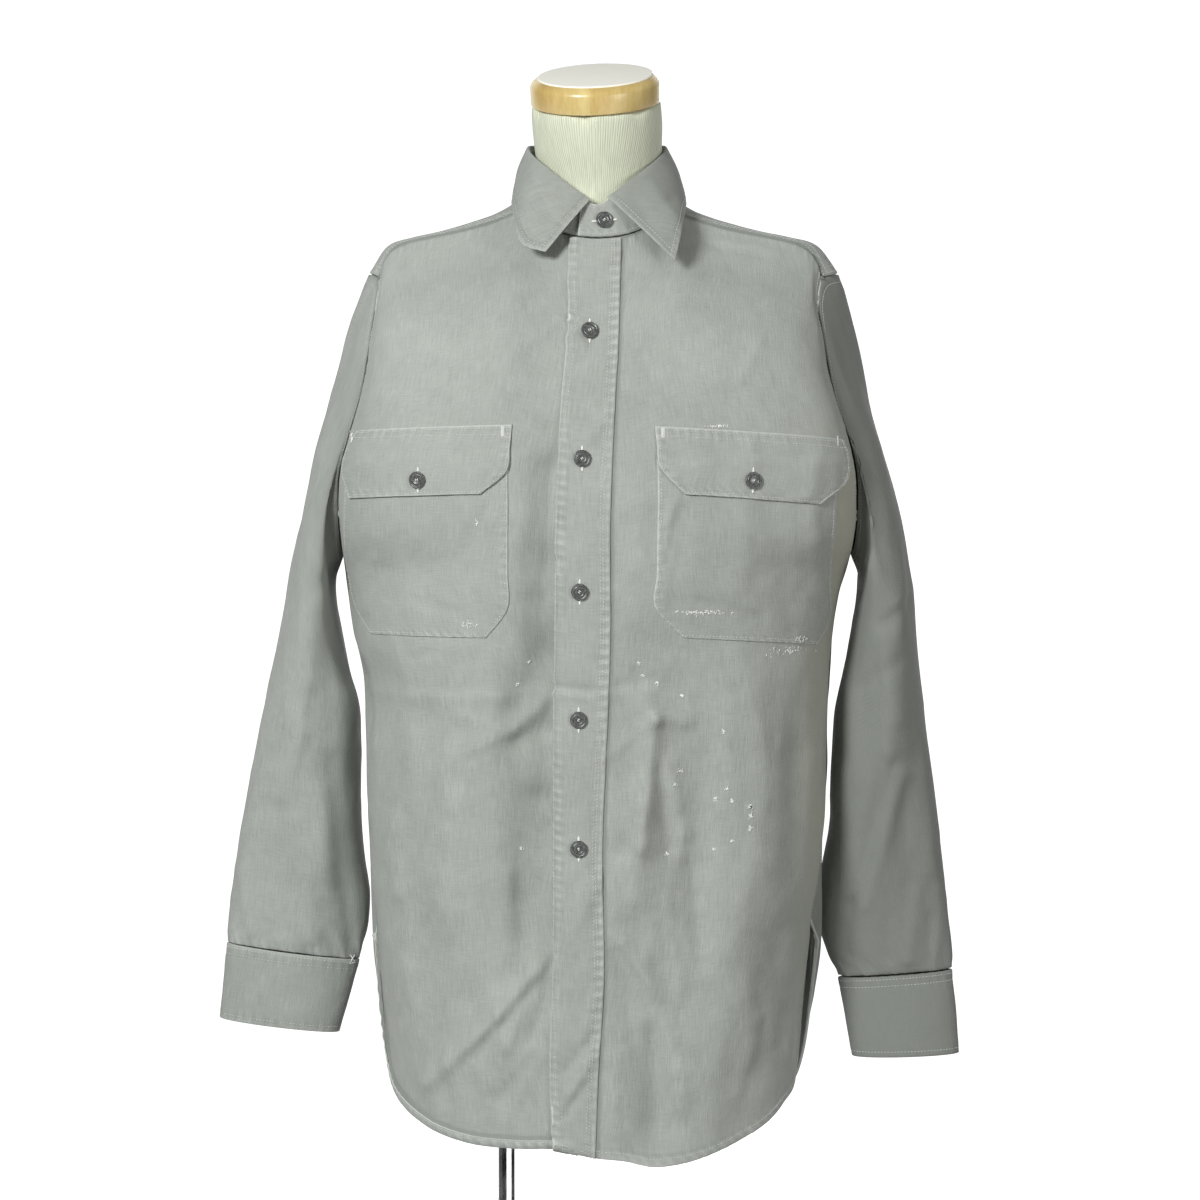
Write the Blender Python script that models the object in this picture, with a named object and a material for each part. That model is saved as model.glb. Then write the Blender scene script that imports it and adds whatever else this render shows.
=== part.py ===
"""Twill work shirt, buttoned up on a dress form without limbs.

Metres, +Z up. The origin is the centre of the base's underside, below the middle of the form.
The front of the shirt faces -Y, and +X is on the right of someone who looks at that front.
"""

import math

import bmesh
import bpy
import numpy as np
from mathutils import Matrix, Vector

# ---------- driving dimensions ----------
CLOTH = 0.0012  # one layer of twill
DOUBLE = 0.0016  # two layers stitched together: collar, cuffs and flaps
SEAM_GAP = 0.0010  # between the edges of two pieces that are sewn together
ARMHOLE_GAP = 0.0018  # the sleeves' first rings stand this far outside the body's armholes
LAYER_GAP = 0.0006  # between a panel and a piece that lies on it
PLACKET_LAP = 0.0028  # how far the under front and the stand's under end lie behind

TIP_Z = 1.3586  # shoulder tip, the top of the armhole
PIT_Z = 1.120  # underarm, the bottom of the armhole
ARMHOLE_FRONT = 0.064  # how far the armhole reaches forward of its middle
ARMHOLE_BACK = 0.066
ARMHOLE_POWER = 0.62  # below 1 it squares the armhole's oval
CORNER_DROP = 0.022  # where the yoke's front seam meets the armhole, as a share of its height
BACK_CORNER_DROP = 0.245
TIP_OUT_LEFT = 0.011  # the shoulder tips stand out past the front's corners
TIP_OUT_RIGHT = 0.0155
NECK_CORNER = math.radians(65)  # where the yoke's front seam meets the neckline
NECK_SHARE = 0.40  # share of the front's half width that the neckline takes
BACK_SEAM_Z = 1.300  # yoke's back seam
SHOULDER_POWER = 1.6  # how soon the yoke rises away from the neckline
TOP_FADE = 0.100  # the top edge's form fades into the body's over this height
UNDER_FROM = -0.072  # the under front sinks behind the placket between these two places
UNDER_TO = -0.046
PLACKET_START = 0.08  # the band starts this share of a row below the neckline
POCKET_GAP = 0.0014  # a pocket stands this far off the front, whose facets differ from its own
FLAP_OUT = CLOTH + DOUBLE + POCKET_GAP + 1.5 * LAYER_GAP
FRONT_ROWS = 25  # rings and columns of the cloth walls
FRONT_COLUMNS = 11
BACK_ROWS = 22
BACK_COLUMNS = 19
YOKE_ROWS = 7
SLEEVE_SIDES = 22
SLEEVE_ROWS = 16
POCKET_COLUMNS = 12

BUTTON_RADIUS = 0.0070
BUTTON_THICK = 0.0028
STAND_BUTTON_Z = 1.4005
STAND_BUTTON_TURN = math.radians(5.5)
STAND_BELOW_FOLD = 0.0028  # the stand's top edge, inside the fold

NECK_TILT = math.radians(17.5)  # the neck and its cap lean forwards
CAP_ROLL = math.radians(2.6)
CAP_FOOT = (-0.0005, -0.0300, 1.5035)  # centre of the cap's underside
CAP_RADIUS = 0.0556
CAP_HEIGHT = 0.0225
DISC_RADIUS = 0.0490
FORM_FOOT_Z = 0.720
POLE_X = -0.079
POLE_RADIUS = 0.0107
BASE_RADIUS = 0.190
BASE_THICK = 0.012
BASE_EDGE = 0.0025
FLANGE_RADIUS = 0.026
FLANGE_THICK = 0.005
DISC_THICK = 0.0015
TOUCH_GAP = 0.0003  # between hard pieces that meet


def table(columns, *rows):
    """Rows of numbers whose columns are read by name."""
    return np.array(list(rows), dtype=[(name, float) for name in columns.split()])


# ---------- sections of the body, one row for each height ----------
BODY = table(
    "z     left     right   side   front    back",
    (1.440, -0.1500, 0.1520, 0.000, -0.0600, 0.0580),
    (1.410, -0.1640, 0.1680, 0.001, -0.0690, 0.0780),
    (1.385, -0.1760, 0.1820, 0.002, -0.0800, 0.0920),
    (1.355, -0.1840, 0.1905, 0.003, -0.0960, 0.1060),
    (1.337, -0.1855, 0.1865, 0.004, -0.1040, 0.1110),
    (1.304, -0.1900, 0.1905, 0.006, -0.1170, 0.1180),
    (1.263, -0.1960, 0.1970, 0.008, -0.1280, 0.1230),
    (1.226, -0.2065, 0.2095, 0.010, -0.1340, 0.1260),
    (1.192, -0.2160, 0.2180, 0.011, -0.1370, 0.1270),
    (1.160, -0.2180, 0.2195, 0.012, -0.1380, 0.1260),
    (1.120, -0.2165, 0.2170, 0.012, -0.1370, 0.1230),
    (1.075, -0.2116, 0.2050, 0.011, -0.1350, 0.1180),
    (1.045, -0.2075, 0.2010, 0.010, -0.1330, 0.1140),
    (1.003, -0.1935, 0.1990, 0.010, -0.1310, 0.1100),
    (0.955, -0.1985, 0.1975, 0.009, -0.1295, 0.1070),
    (0.900, -0.1960, 0.1960, 0.008, -0.1280, 0.1090),
    (0.845, -0.1940, 0.1910, 0.007, -0.1270, 0.1130),
    (0.800, -0.1890, 0.1830, 0.006, -0.1265, 0.1170),
    (0.760, -0.1860, 0.1770, 0.005, -0.1265, 0.1200),
    (0.700, -0.1790, 0.1740, 0.004, -0.1275, 0.1225),
    (0.610, -0.1760, 0.1720, 0.003, -0.1295, 0.1250),
)
BACK_TAIL = table(  # the back tail hangs wider than the front tail
    "z     left    right",
    (0.800, 0.0000, 0.0000),
    (0.777, 0.0060, 0.0165),
    (0.748, 0.0080, 0.0160),
    (0.720, 0.0085, 0.0140),
    (0.695, 0.0085, 0.0095),
    (0.670, 0.0050, 0.0050),
    (0.640, 0.0010, 0.0010),
    (0.590, 0.0000, 0.0000),
)
FRONT_ROUND = 2.25  # power of the oval sections
BACK_ROUND = 2.35

# ---------- neckline and collar, by the turn in degrees from the centre front ----------
NECKLINE = table(
    "turn   z",
    (-180, 1.4370),
    (-135, 1.4310),
    (-90, 1.4195),
    (-60, 1.4098),
    (-30, 1.3920),
    (0, 1.3860),
    (30, 1.3920),
    (60, 1.4098),
    (90, 1.4195),
    (135, 1.4310),
    (180, 1.4370),
)
NECK_WIDE = 0.0695
NECK_FRONT = 0.0800
NECK_BACK = 0.0600
FOLD = table(  # the fold line of the collar
    "turn   z",
    (-180, 1.4730),
    (-130, 1.4715),
    (-90, 1.4660),
    (-60, 1.4540),
    (-36, 1.4400),
    (-20, 1.4280),
    (0, 1.4165),
    (20, 1.4280),
    (36, 1.4400),
    (60, 1.4540),
    (90, 1.4660),
    (130, 1.4715),
    (180, 1.4730),
)
FOLD_WIDE = 0.0583
FOLD_FRONT = 0.0735
FOLD_BACK = 0.0530
STAND_UNDER_END = 15  # turn of the stand's hidden end
STAND_OVER_END = -13  # turn of the end that carries the buttonhole
LEAF_EDGE = table(  # outer edge of the collar leaf, from the right point round to the left point
    "turn   x        y        z",
    (9, 0.0650, -0.0960, 1.3665),
    (30, 0.0710, -0.0830, 1.3930),
    (50, 0.0742, -0.0600, 1.4090),
    (90, 0.0750, -0.0120, 1.4215),
    (130, 0.0620, 0.0480, 1.4370),
    (155, 0.0350, 0.0745, 1.4430),
    (180, 0.0000, 0.0830, 1.4450),
    (205, -0.0350, 0.0745, 1.4430),
    (230, -0.0610, 0.0480, 1.4370),
    (270, -0.0722, -0.0120, 1.4215),
    (310, -0.0705, -0.0600, 1.4090),
    (328, -0.0680, -0.0810, 1.3930),
    (343, -0.0590, -0.0925, 1.3780),
    (354, -0.0430, -0.0975, 1.3735),
)
LEAF_OUT = 0.0020  # the leaf's face stands this far outside the stand's
LEAF_BOW = 0.0030  # the leaf curves out between its fold and its edge

# ---------- yoke ----------
YOKE_RISE = table(  # how the yoke rounds over the shoulder and the blades, by the share of the way round
    "share  shoulder  blade",
    (0.00, 0.0330, 0.000),
    (0.13, 0.0200, 0.000),
    (0.26, 0.0180, 0.004),
    (0.38, 0.0000, 0.012),
    (0.50, 0.0000, 0.014),
    (0.62, 0.0000, 0.012),
    (0.74, 0.0180, 0.004),
    (0.87, 0.0200, 0.000),
    (1.00, 0.0330, 0.000),
)
SHOULDER_SHARE = 0.26  # share of the yoke's way round that borders each armhole

# ---------- hems, by the turn in degrees: 0 is the middle and 90 the right side seam ----------
HEM = table(
    "turn   front    back",
    (-90, 0.7850, 0.7850),
    (-86, 0.7050, 0.6900),
    (-80, 0.6680, 0.6640),
    (-73, 0.6590, 0.6500),
    (-63, 0.6495, 0.6360),
    (-50, 0.6385, 0.6220),
    (-38, 0.6310, 0.6110),
    (-23, 0.6283, 0.6030),
    (-10, 0.6277, 0.5990),
    (0, 0.6217, 0.5980),
    (10, 0.6180, 0.5990),
    (18, 0.6130, 0.6010),
    (26, 0.6162, 0.6045),
    (35, 0.6229, 0.6095),
    (46, 0.6330, 0.6185),
    (57, 0.6440, 0.6290),
    (68, 0.6590, 0.6430),
    (76, 0.6690, 0.6550),
    (81, 0.6820, 0.6680),
    (86, 0.7100, 0.6950),
    (90, 0.7850, 0.7850),
)

# ---------- placket: its free edge and its sewn edge, by height ----------
PLACKET = table(
    "z      free      sewn",
    (1.390, -0.0173, 0.0212),
    (1.321, -0.0215, 0.0185),
    (1.295, -0.0240, 0.0175),
    (1.253, -0.0280, 0.0150),
    (1.199, -0.0310, 0.0124),
    (1.150, -0.0330, 0.0107),
    (1.052, -0.0338, 0.0107),
    (0.956, -0.0350, 0.0074),
    (0.881, -0.0350, 0.0045),
    (0.755, -0.0363, 0.0050),
    (0.707, -0.0380, 0.0017),
    (0.615, -0.0355, -0.0020),
)
FRONT_BUTTONS = table(
    "x       z",
    (-0.0058, 1.3060),
    (-0.0120, 1.2010),
    (-0.0140, 1.0915),
    (-0.0149, 0.9855),
    (-0.0149, 0.8785),
)

# ---------- largest folds: soft ridges (+) and valleys (-) that run from x0, z0 to x1, z1 ----------
FRONT_FOLDS = table(
    "x0     z0     x1      z1     height  width",
    (-0.040, 1.052, -0.048, 1.004, -0.0050, 0.014),
    (-0.048, 1.004, -0.062, 0.973, -0.0080, 0.017),
    (-0.062, 0.973, -0.063, 0.837, -0.0080, 0.018),
    (-0.063, 0.837, -0.072, 0.740, -0.0060, 0.020),
    (-0.066, 0.750, -0.140, 0.668, 0.0050, 0.022),
    (-0.120, 0.930, -0.110, 0.740, 0.0040, 0.028),
    (-0.150, 1.010, -0.160, 0.850, 0.0045, 0.022),
    (0.050, 0.988, 0.037, 0.917, 0.0050, 0.016),
    (0.037, 0.917, 0.036, 0.840, 0.0050, 0.017),
    (0.018, 0.960, 0.020, 0.830, -0.0035, 0.012),
    (0.070, 0.990, 0.085, 0.860, -0.0040, 0.018),
    (0.110, 1.000, 0.130, 0.830, 0.0045, 0.026),
    (0.045, 0.722, 0.050, 0.640, -0.0050, 0.016),
    (0.100, 0.780, 0.095, 0.660, 0.0050, 0.024),
    (0.155, 1.060, 0.165, 0.900, -0.0040, 0.018),
)
BACK_FOLDS = table(
    "x0     z0     x1      z1     height  width",
    (-0.105, 1.290, -0.115, 1.000, 0.0065, 0.020),
    (-0.070, 1.280, -0.078, 0.900, -0.0050, 0.022),
    (-0.020, 1.200, -0.028, 0.700, 0.0055, 0.026),
    (0.035, 1.280, 0.040, 0.860, -0.0050, 0.022),
    (0.088, 1.290, 0.100, 0.940, 0.0065, 0.021),
    (0.130, 1.100, 0.125, 0.720, -0.0055, 0.020),
    (-0.130, 0.980, -0.120, 0.700, -0.0050, 0.022),
    (0.060, 0.860, 0.065, 0.620, 0.0050, 0.024),
)

# ---------- sleeves: the outer and the inner line that each ring spans, from shoulder to cuff ----------
SLEEVE_LEFT = table(
    "share  out_x    out_z   in_x     in_z    middle depth",
    (0.00, -0.1970, 1.3586, -0.2170, 1.1200, 0.006, 0.065),
    (0.07, -0.2124, 1.3170, -0.2235, 1.1060, 0.010, 0.067),
    (0.15, -0.2260, 1.2690, -0.2275, 1.0930, 0.014, 0.068),
    (0.22, -0.2370, 1.2290, -0.2275, 1.0790, 0.018, 0.068),
    (0.30, -0.2485, 1.1780, -0.2250, 1.0610, 0.022, 0.068),
    (0.42, -0.2650, 1.1015, -0.2160, 1.0200, 0.027, 0.067),
    (0.51, -0.2745, 1.0490, -0.2070, 0.9850, 0.030, 0.065),
    (0.60, -0.2876, 0.9925, -0.2060, 0.9480, 0.032, 0.061),
    (0.75, -0.3040, 0.9055, -0.2040, 0.8800, 0.032, 0.046),
    (0.92, -0.3190, 0.8190, -0.1985, 0.8060, 0.030, 0.029),
    (1.00, -0.3215, 0.7825, -0.2072, 0.7680, 0.028, 0.020),
)
SLEEVE_RIGHT = table(
    "share  out_x   out_z   in_x    in_z    middle depth",
    (0.00, 0.2070, 1.3586, 0.2165, 1.1200, 0.006, 0.065),
    (0.07, 0.2200, 1.3170, 0.2235, 1.1060, 0.010, 0.067),
    (0.15, 0.2310, 1.2690, 0.2270, 1.0930, 0.014, 0.068),
    (0.22, 0.2410, 1.2290, 0.2265, 1.0790, 0.018, 0.068),
    (0.30, 0.2550, 1.1780, 0.2230, 1.0610, 0.022, 0.068),
    (0.42, 0.2712, 1.1015, 0.2150, 1.0200, 0.027, 0.067),
    (0.51, 0.2757, 1.0530, 0.2080, 0.9850, 0.030, 0.065),
    (0.60, 0.2818, 0.9925, 0.2050, 0.9480, 0.032, 0.061),
    (0.75, 0.2935, 0.9055, 0.2010, 0.8800, 0.034, 0.046),
    (0.92, 0.3060, 0.8020, 0.1950, 0.7920, 0.036, 0.028),
    (1.00, 0.3090, 0.7590, 0.2104, 0.7520, 0.034, 0.019),
)
SLEEVE_ROUND = 0.92  # power of the rings below the shoulder
SLEEVE_BLEND = 0.30  # share of the length over which the armhole's form fades
SLEEVE_FOLDS = table(  # by the share of the length and the turn in degrees from the outer line
    "share  turn  height  long   wide",
    (0.16, 62, -0.0050, 0.10, 26),
    (0.24, 100, 0.0045, 0.12, 24),
    (0.44, 60, 0.0050, 0.13, 22),
    (0.52, 110, -0.0055, 0.09, 26),
    (0.62, 78, 0.0045, 0.14, 18),
    (0.78, 62, -0.0040, 0.13, 17),
    (0.84, 108, 0.0040, 0.12, 17),
    (0.30, 250, -0.0060, 0.12, 28),
    (0.46, 300, 0.0050, 0.12, 24),
    (0.58, 262, -0.0055, 0.10, 26),
    (0.74, 285, 0.0045, 0.13, 20),
)
CUFFS = table(  # the outer and inner corners of each cuff's top and bottom edges
    "side  edge  out_x    out_z   in_x     in_z    middle depth",
    (-1, 0, -0.3222, 0.7808, -0.2067, 0.7660, 0.028, 0.0215),
    (-1, 1, -0.3285, 0.7167, -0.2240, 0.7040, 0.027, 0.0235),
    (1, 0, 0.3098, 0.7565, 0.2098, 0.7495, 0.034, 0.0205),
    (1, 1, 0.3158, 0.6850, 0.2222, 0.6820, 0.033, 0.0225),
)
CUFF_LAP = 50  # degrees by which a cuff's ends lie on each other
CUFF_LAP_INSET = 0.0029

# ---------- pockets: the ends of each row across them, from the top down ----------
POCKET_ROWS = table(
    "side  left     right    left_z  right_z",
    (-1, -0.2050, -0.0740, 1.2030, 1.2030),
    (-1, -0.2085, -0.0735, 1.1700, 1.1700),
    (-1, -0.2100, -0.0735, 1.1350, 1.1350),
    (-1, -0.2095, -0.0735, 1.1050, 1.1050),
    (-1, -0.2030, -0.0740, 1.0780, 1.0770),
    (-1, -0.1885, -0.0910, 1.0545, 1.0535),
    (1, 0.0500, 0.1970, 1.2000, 1.1990),
    (1, 0.0505, 0.1972, 1.1700, 1.1650),
    (1, 0.0500, 0.1960, 1.1350, 1.1350),
    (1, 0.0495, 0.1940, 1.1050, 1.1000),
    (1, 0.0495, 0.1945, 1.0760, 1.0640),
    (1, 0.0710, 0.1835, 1.0535, 1.0450),
)
FLAP_ROWS = table(
    "side  left     right    left_z  right_z",
    (-1, -0.1990, -0.0700, 1.2235, 1.2285),
    (-1, -0.2045, -0.0715, 1.2080, 1.2100),
    (-1, -0.2085, -0.0740, 1.1930, 1.1910),
    (-1, -0.2030, -0.0955, 1.1690, 1.1720),
    (1, 0.0480, 0.2040, 1.2270, 1.2160),
    (1, 0.0495, 0.2055, 1.2120, 1.2040),
    (1, 0.0510, 0.2055, 1.1960, 1.1850),
    (1, 0.0720, 0.1830, 1.1720, 1.1640),
)
FLAP_BUTTONS = table("side x z", (-1, -0.1465, 1.1835), (1, 0.1275, 1.1830))

# ---------- a button ----------
BUTTON_PROFILE = table(  # shares of the radius and of the thickness, from the dished middle outwards
    "radius height",
    (0.00, 0.55),
    (0.45, 0.55),
    (0.62, 1.00),
    (0.88, 0.95),
    (1.00, 0.50),
    (0.86, 0.05),
    (0.00, 0.00),
)
BUTTON_SIDES = 14

# ---------- dress form: half width, and reach forward and back, one row for each height ----------
FORM = table(
    "z      wide    ahead    behind  middle",
    (0.720, 0.1500, 0.0950, 0.0950, 0.000),
    (0.800, 0.1620, 0.1020, 0.1010, 0.000),
    (0.880, 0.1600, 0.1010, 0.0950, 0.000),
    (0.960, 0.1480, 0.0980, 0.0850, 0.000),
    (1.040, 0.1560, 0.1050, 0.0900, 0.000),
    (1.120, 0.1720, 0.1140, 0.1020, 0.000),
    (1.200, 0.1800, 0.1160, 0.1090, 0.000),
    (1.270, 0.1800, 0.1040, 0.1060, 0.002),
    (1.320, 0.1780, 0.0830, 0.0880, 0.004),
    (1.350, 0.1740, 0.0620, 0.0650, 0.003),
    (1.366, 0.1650, 0.0500, 0.0540, 0.002),
    (1.380, 0.1460, 0.0440, 0.0500, 0.000),
    (1.392, 0.1180, 0.0440, 0.0500, -0.002),
    (1.402, 0.0920, 0.0500, 0.0520, -0.004),
    (1.409, 0.0720, 0.0540, 0.0520, -0.006),
    (1.417, 0.0610, 0.0545, 0.0510, -0.008),
)
FORM_ROUND = 2.1
NECK = table(  # rings square to the neck's leaning axis, by the distance below the cap
    "below   wide    deep",
    (0.066, 0.0540, 0.0505),
    (0.044, 0.0540, 0.0515),
    (0.029, 0.0556, 0.0540),
    (0.0005, 0.0565, 0.0555),
)


# ---------- helpers for curves ----------
def follow(rows, key, name, at):
    """The named column at a value of the key column, on a smooth curve through the rows."""
    x = rows[key]
    y = rows[name]
    if x[0] > x[-1]:
        x = x[::-1]
        y = y[::-1]
    slope = np.gradient(y, x)
    at = np.clip(at, x[0], x[-1])
    i = np.clip(np.searchsorted(x, at) - 1, 0, len(x) - 2)
    span = x[i + 1] - x[i]
    t = (at - x[i]) / span
    start = (2 * t**3 - 3 * t**2 + 1) * y[i] + (t**3 - 2 * t**2 + t) * span * slope[i]
    end = (3 * t**2 - 2 * t**3) * y[i + 1] + (t**3 - t**2) * span * slope[i + 1]
    return start + end


def ease(value, start, end):
    """0 up to start, 1 from end on, and a smooth step between them."""
    t = np.clip((value - start) / (end - start), 0, 1)
    return t * t * (3 - 2 * t)


def points(x, y, z):
    return np.stack(np.broadcast_arrays(x, y, z), axis=-1).astype(float)


def normals(grid):
    """Unit normals of a grid of points, out of the face whose columns run to the right."""
    across = np.gradient(grid, axis=1)
    down = np.gradient(grid, axis=0)
    cross = np.cross(down, across)
    return cross / np.maximum(np.linalg.norm(cross, axis=-1, keepdims=True), 1e-12)


# ---------- the body's surfaces ----------
def side_x(side, z):
    return follow(BODY, "z", "left" if side < 0 else "right", z)


def armhole(side, angle):
    """The armhole seam: angle 0 is the shoulder tip, pi the underarm, and the front half is positive."""
    drop = (1 - np.cos(angle)) / 2
    z = TIP_Z - drop * (TIP_Z - PIT_Z)
    forward = np.sin(angle)
    reach = np.where(forward > 0, ARMHOLE_FRONT, ARMHOLE_BACK) * np.abs(forward) ** ARMHOLE_POWER
    y = follow(BODY, "z", "side", z) - np.sign(forward) * reach
    top = np.clip(1 - drop / CORNER_DROP, 0, 1)
    out = TIP_OUT_LEFT if side < 0 else TIP_OUT_RIGHT
    return points(side_x(side, z) + side * out * top, y, z)


def arch(z):
    """How far the armhole spreads from its middle line at a height, as a share of its reach."""
    drop = np.clip((TIP_Z - z) / (TIP_Z - PIT_Z), CORNER_DROP, 1)
    return np.abs(np.sin(np.arccos(1 - 2 * drop))) ** ARMHOLE_POWER


def folded(x, z, folds):
    """The height of the folds at each point of a panel."""
    total = np.zeros_like(x)
    for fold in folds:
        run_x = fold["x1"] - fold["x0"]
        run_z = fold["z1"] - fold["z0"]
        along = ((x - fold["x0"]) * run_x + (z - fold["z0"]) * run_z) / (run_x**2 + run_z**2)
        along = np.clip(along, 0, 1)
        away = np.hypot(x - fold["x0"] - along * run_x, z - fold["z0"] - along * run_z)
        total += fold["height"] * np.exp(-((away / fold["width"]) ** 2))
    return total


def front_surface(share, z):
    """The front of the body, where share runs from -1 at the left side seam to 1 at the right."""
    left = side_x(-1, z)
    right = side_x(1, z)
    x = left + (right - left) * (share + 1) / 2
    edge = follow(BODY, "z", "side", z) - ARMHOLE_FRONT * arch(z) - SEAM_GAP / 2
    middle = follow(BODY, "z", "front", z)
    rise = np.maximum(1 - np.abs(share) ** FRONT_ROUND, 0) ** (1 / FRONT_ROUND)
    y = edge + (middle - edge) * rise
    return points(x, y - rise * folded(x, z, FRONT_FOLDS), z)


def back_surface(share, z):
    """The back of the body, where share runs from -1 at the left side seam to 1 at the right."""
    left = side_x(-1, z) - follow(BACK_TAIL, "z", "left", z)
    right = side_x(1, z) + follow(BACK_TAIL, "z", "right", z)
    x = left + (right - left) * (share + 1) / 2
    edge = follow(BODY, "z", "side", z) + ARMHOLE_BACK * arch(z) + SEAM_GAP / 2
    middle = follow(BODY, "z", "back", z)
    rise = np.maximum(1 - np.abs(share) ** BACK_ROUND, 0) ** (1 / BACK_ROUND)
    y = edge + (middle - edge) * rise
    return points(x, y + rise * folded(x, z, BACK_FOLDS), z)


def hem_z(name, share):
    return follow(HEM, "turn", name, np.degrees(np.arcsin(share)))


def share_at(x, z):
    """The share across the front at which the panel has this x."""
    left = side_x(-1, z)
    right = side_x(1, z)
    return 2 * (x - left) / (right - left) - 1


# ---------- neckline, fold line and yoke ----------
def around_neck(rows, turn, wide, ahead, behind, out=0.0):
    """A point of an oval round the neck, where turn is 0 in front and pi / 2 on the right."""
    degrees = (np.degrees(turn) + 180) % 360 - 180
    middle = (behind - ahead) / 2
    deep = (behind + ahead) / 2
    x = (wide + out) * np.sin(turn)
    y = middle - (deep + out) * np.cos(turn)
    return points(x, y, follow(rows, "turn", "z", degrees))


def neckline(turn, out=0.0):
    return around_neck(NECKLINE, turn, NECK_WIDE, NECK_FRONT, NECK_BACK, out)


def fold_line(turn, out=0.0):
    return around_neck(FOLD, turn, FOLD_WIDE, FOLD_FRONT, FOLD_BACK, out)


def yoke_outer(share):
    """The yoke's outer edge, from the right front corner over the back to the left front corner."""
    front = math.acos(1 - 2 * CORNER_DROP)
    back = -math.acos(1 - 2 * BACK_CORNER_DROP)
    if share < SHOULDER_SHARE:
        return armhole(1, np.array(front + (back - front) * share / SHOULDER_SHARE))
    if share > 1 - SHOULDER_SHARE:
        return armhole(-1, np.array(front + (back - front) * (1 - share) / SHOULDER_SHARE))
    across = 1 - 2 * (share - SHOULDER_SHARE) / (1 - 2 * SHOULDER_SHARE)
    return back_surface(np.array(across), np.array(BACK_SEAM_Z))


def yoke_point(share, down):
    """A point of the yoke: down is 0 at the neckline and 1 at the outer edge."""
    turn = NECK_CORNER + share * (2 * math.pi - 2 * NECK_CORNER)
    inner = neckline(np.array(turn))
    outer = yoke_outer(share)
    run = outer - inner
    level = np.hypot(run[0], run[1])
    up = np.array([-run[2] * run[0] / level, -run[2] * run[1] / level, level])
    up /= np.linalg.norm(up)
    shoulder = follow(YOKE_RISE, "share", "shoulder", share) * down**SHOULDER_POWER * (1 - down**8)
    blade = follow(YOKE_RISE, "share", "blade", share) * math.sin(math.pi * down)
    return inner + run * down + up * (shoulder + blade)


def front_top(share):
    """The front's top edge: the neckline between the corners, and the yoke's front seams."""
    if abs(share) <= NECK_SHARE:
        return neckline(np.array(NECK_CORNER * share / NECK_SHARE)) - (0, 0, SEAM_GAP)
    down = (abs(share) - NECK_SHARE) / (1 - NECK_SHARE)
    seam = yoke_point(0.0 if share > 0 else 1.0, down)
    return seam - (0, SEAM_GAP, SEAM_GAP * (1 - down))


def column(edge, end, part):
    """A column of the front panel, a part of the way round from an edge to an end: its share at each z."""

    def share(z):
        start = math.asin(np.clip(share_at(edge(z), z), -1, 1))
        return math.sin(start + (math.asin(end) - start) * part)

    return share


def front_grid(columns, rows, under):
    """The front panel's points down columns whose share may change with the height."""
    grid = np.zeros((rows, len(columns), 3))
    for c, share_of in enumerate(columns):
        z = 1.38
        for _ in range(4):
            z = front_top(share_of(z))[2]
        share = share_of(z)
        top = front_top(share)
        for r, fall in enumerate(np.linspace(0, 1, rows)):
            z = top[2]
            for _ in range(3):
                here = share_of(z)
                z = top[2] + (hem_z("front", here) - top[2]) * fall
            point = front_surface(np.array(here), np.array(z))
            shift = top - front_surface(np.array(share), np.array(top[2]))
            point = point + shift * (1 - ease(top[2] - z, 0, TOP_FADE))
            if under:
                hidden = ease(point[0], UNDER_FROM, UNDER_TO)
                point = point + np.array([0, PLACKET_LAP * hidden, 0])
            grid[r, c] = point
    return grid



# ---------- making objects ----------
def material(name, color, roughness, metallic=0.0):
    made = bpy.data.materials.new(name)
    made.use_nodes = True
    shader = made.node_tree.nodes["Principled BSDF"]
    shader.inputs["Base Color"].default_value = (*color, 1)
    shader.inputs["Roughness"].default_value = roughness
    shader.inputs["Metallic"].default_value = metallic
    return made


def add_object(name, mesh, finish):
    made = bpy.data.objects.new(name, mesh)
    bpy.context.scene.collection.objects.link(made)
    mesh.materials.append(finish)
    mesh.shade_smooth()
    return made


def add_wall(name, grid, wall, finish, ring=False):
    """A cloth wall: a grid of outer points, thickened inwards. A ring joins its last column to its first."""
    rows, columns = grid.shape[:2]
    spans = columns if ring else columns - 1
    faces = []
    for r in range(rows - 1):
        for c in range(spans):
            n = (c + 1) % columns
            faces.append((r * columns + c, (r + 1) * columns + c, (r + 1) * columns + n, r * columns + n))
    mesh = bpy.data.meshes.new(name)
    mesh.from_pydata(grid.reshape(-1, 3).tolist(), [], faces)
    made = add_object(name, mesh, finish)
    thick = made.modifiers.new("Wall", "SOLIDIFY")
    thick.thickness = wall
    thick.offset = -1
    return made


def add_solid(name, rings, finish):
    """A closed solid through rings of points, from the top down, with flat ends."""
    mesh = bpy.data.meshes.new(name)
    bm = bmesh.new()
    loops = [[bm.verts.new(point) for point in ring] for ring in rings]
    sides = len(rings[0])
    for upper, lower in zip(loops, loops[1:]):
        for c in range(sides):
            n = (c + 1) % sides
            bm.faces.new((upper[c], lower[c], lower[n], upper[n]))
    bm.faces.new(loops[0])
    bm.faces.new(loops[-1][::-1])
    bmesh.ops.recalc_face_normals(bm, faces=bm.faces)
    bm.to_mesh(mesh)
    bm.free()
    mesh.set_sharp_from_angle(angle=math.radians(50))
    return add_object(name, mesh, finish)


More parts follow.
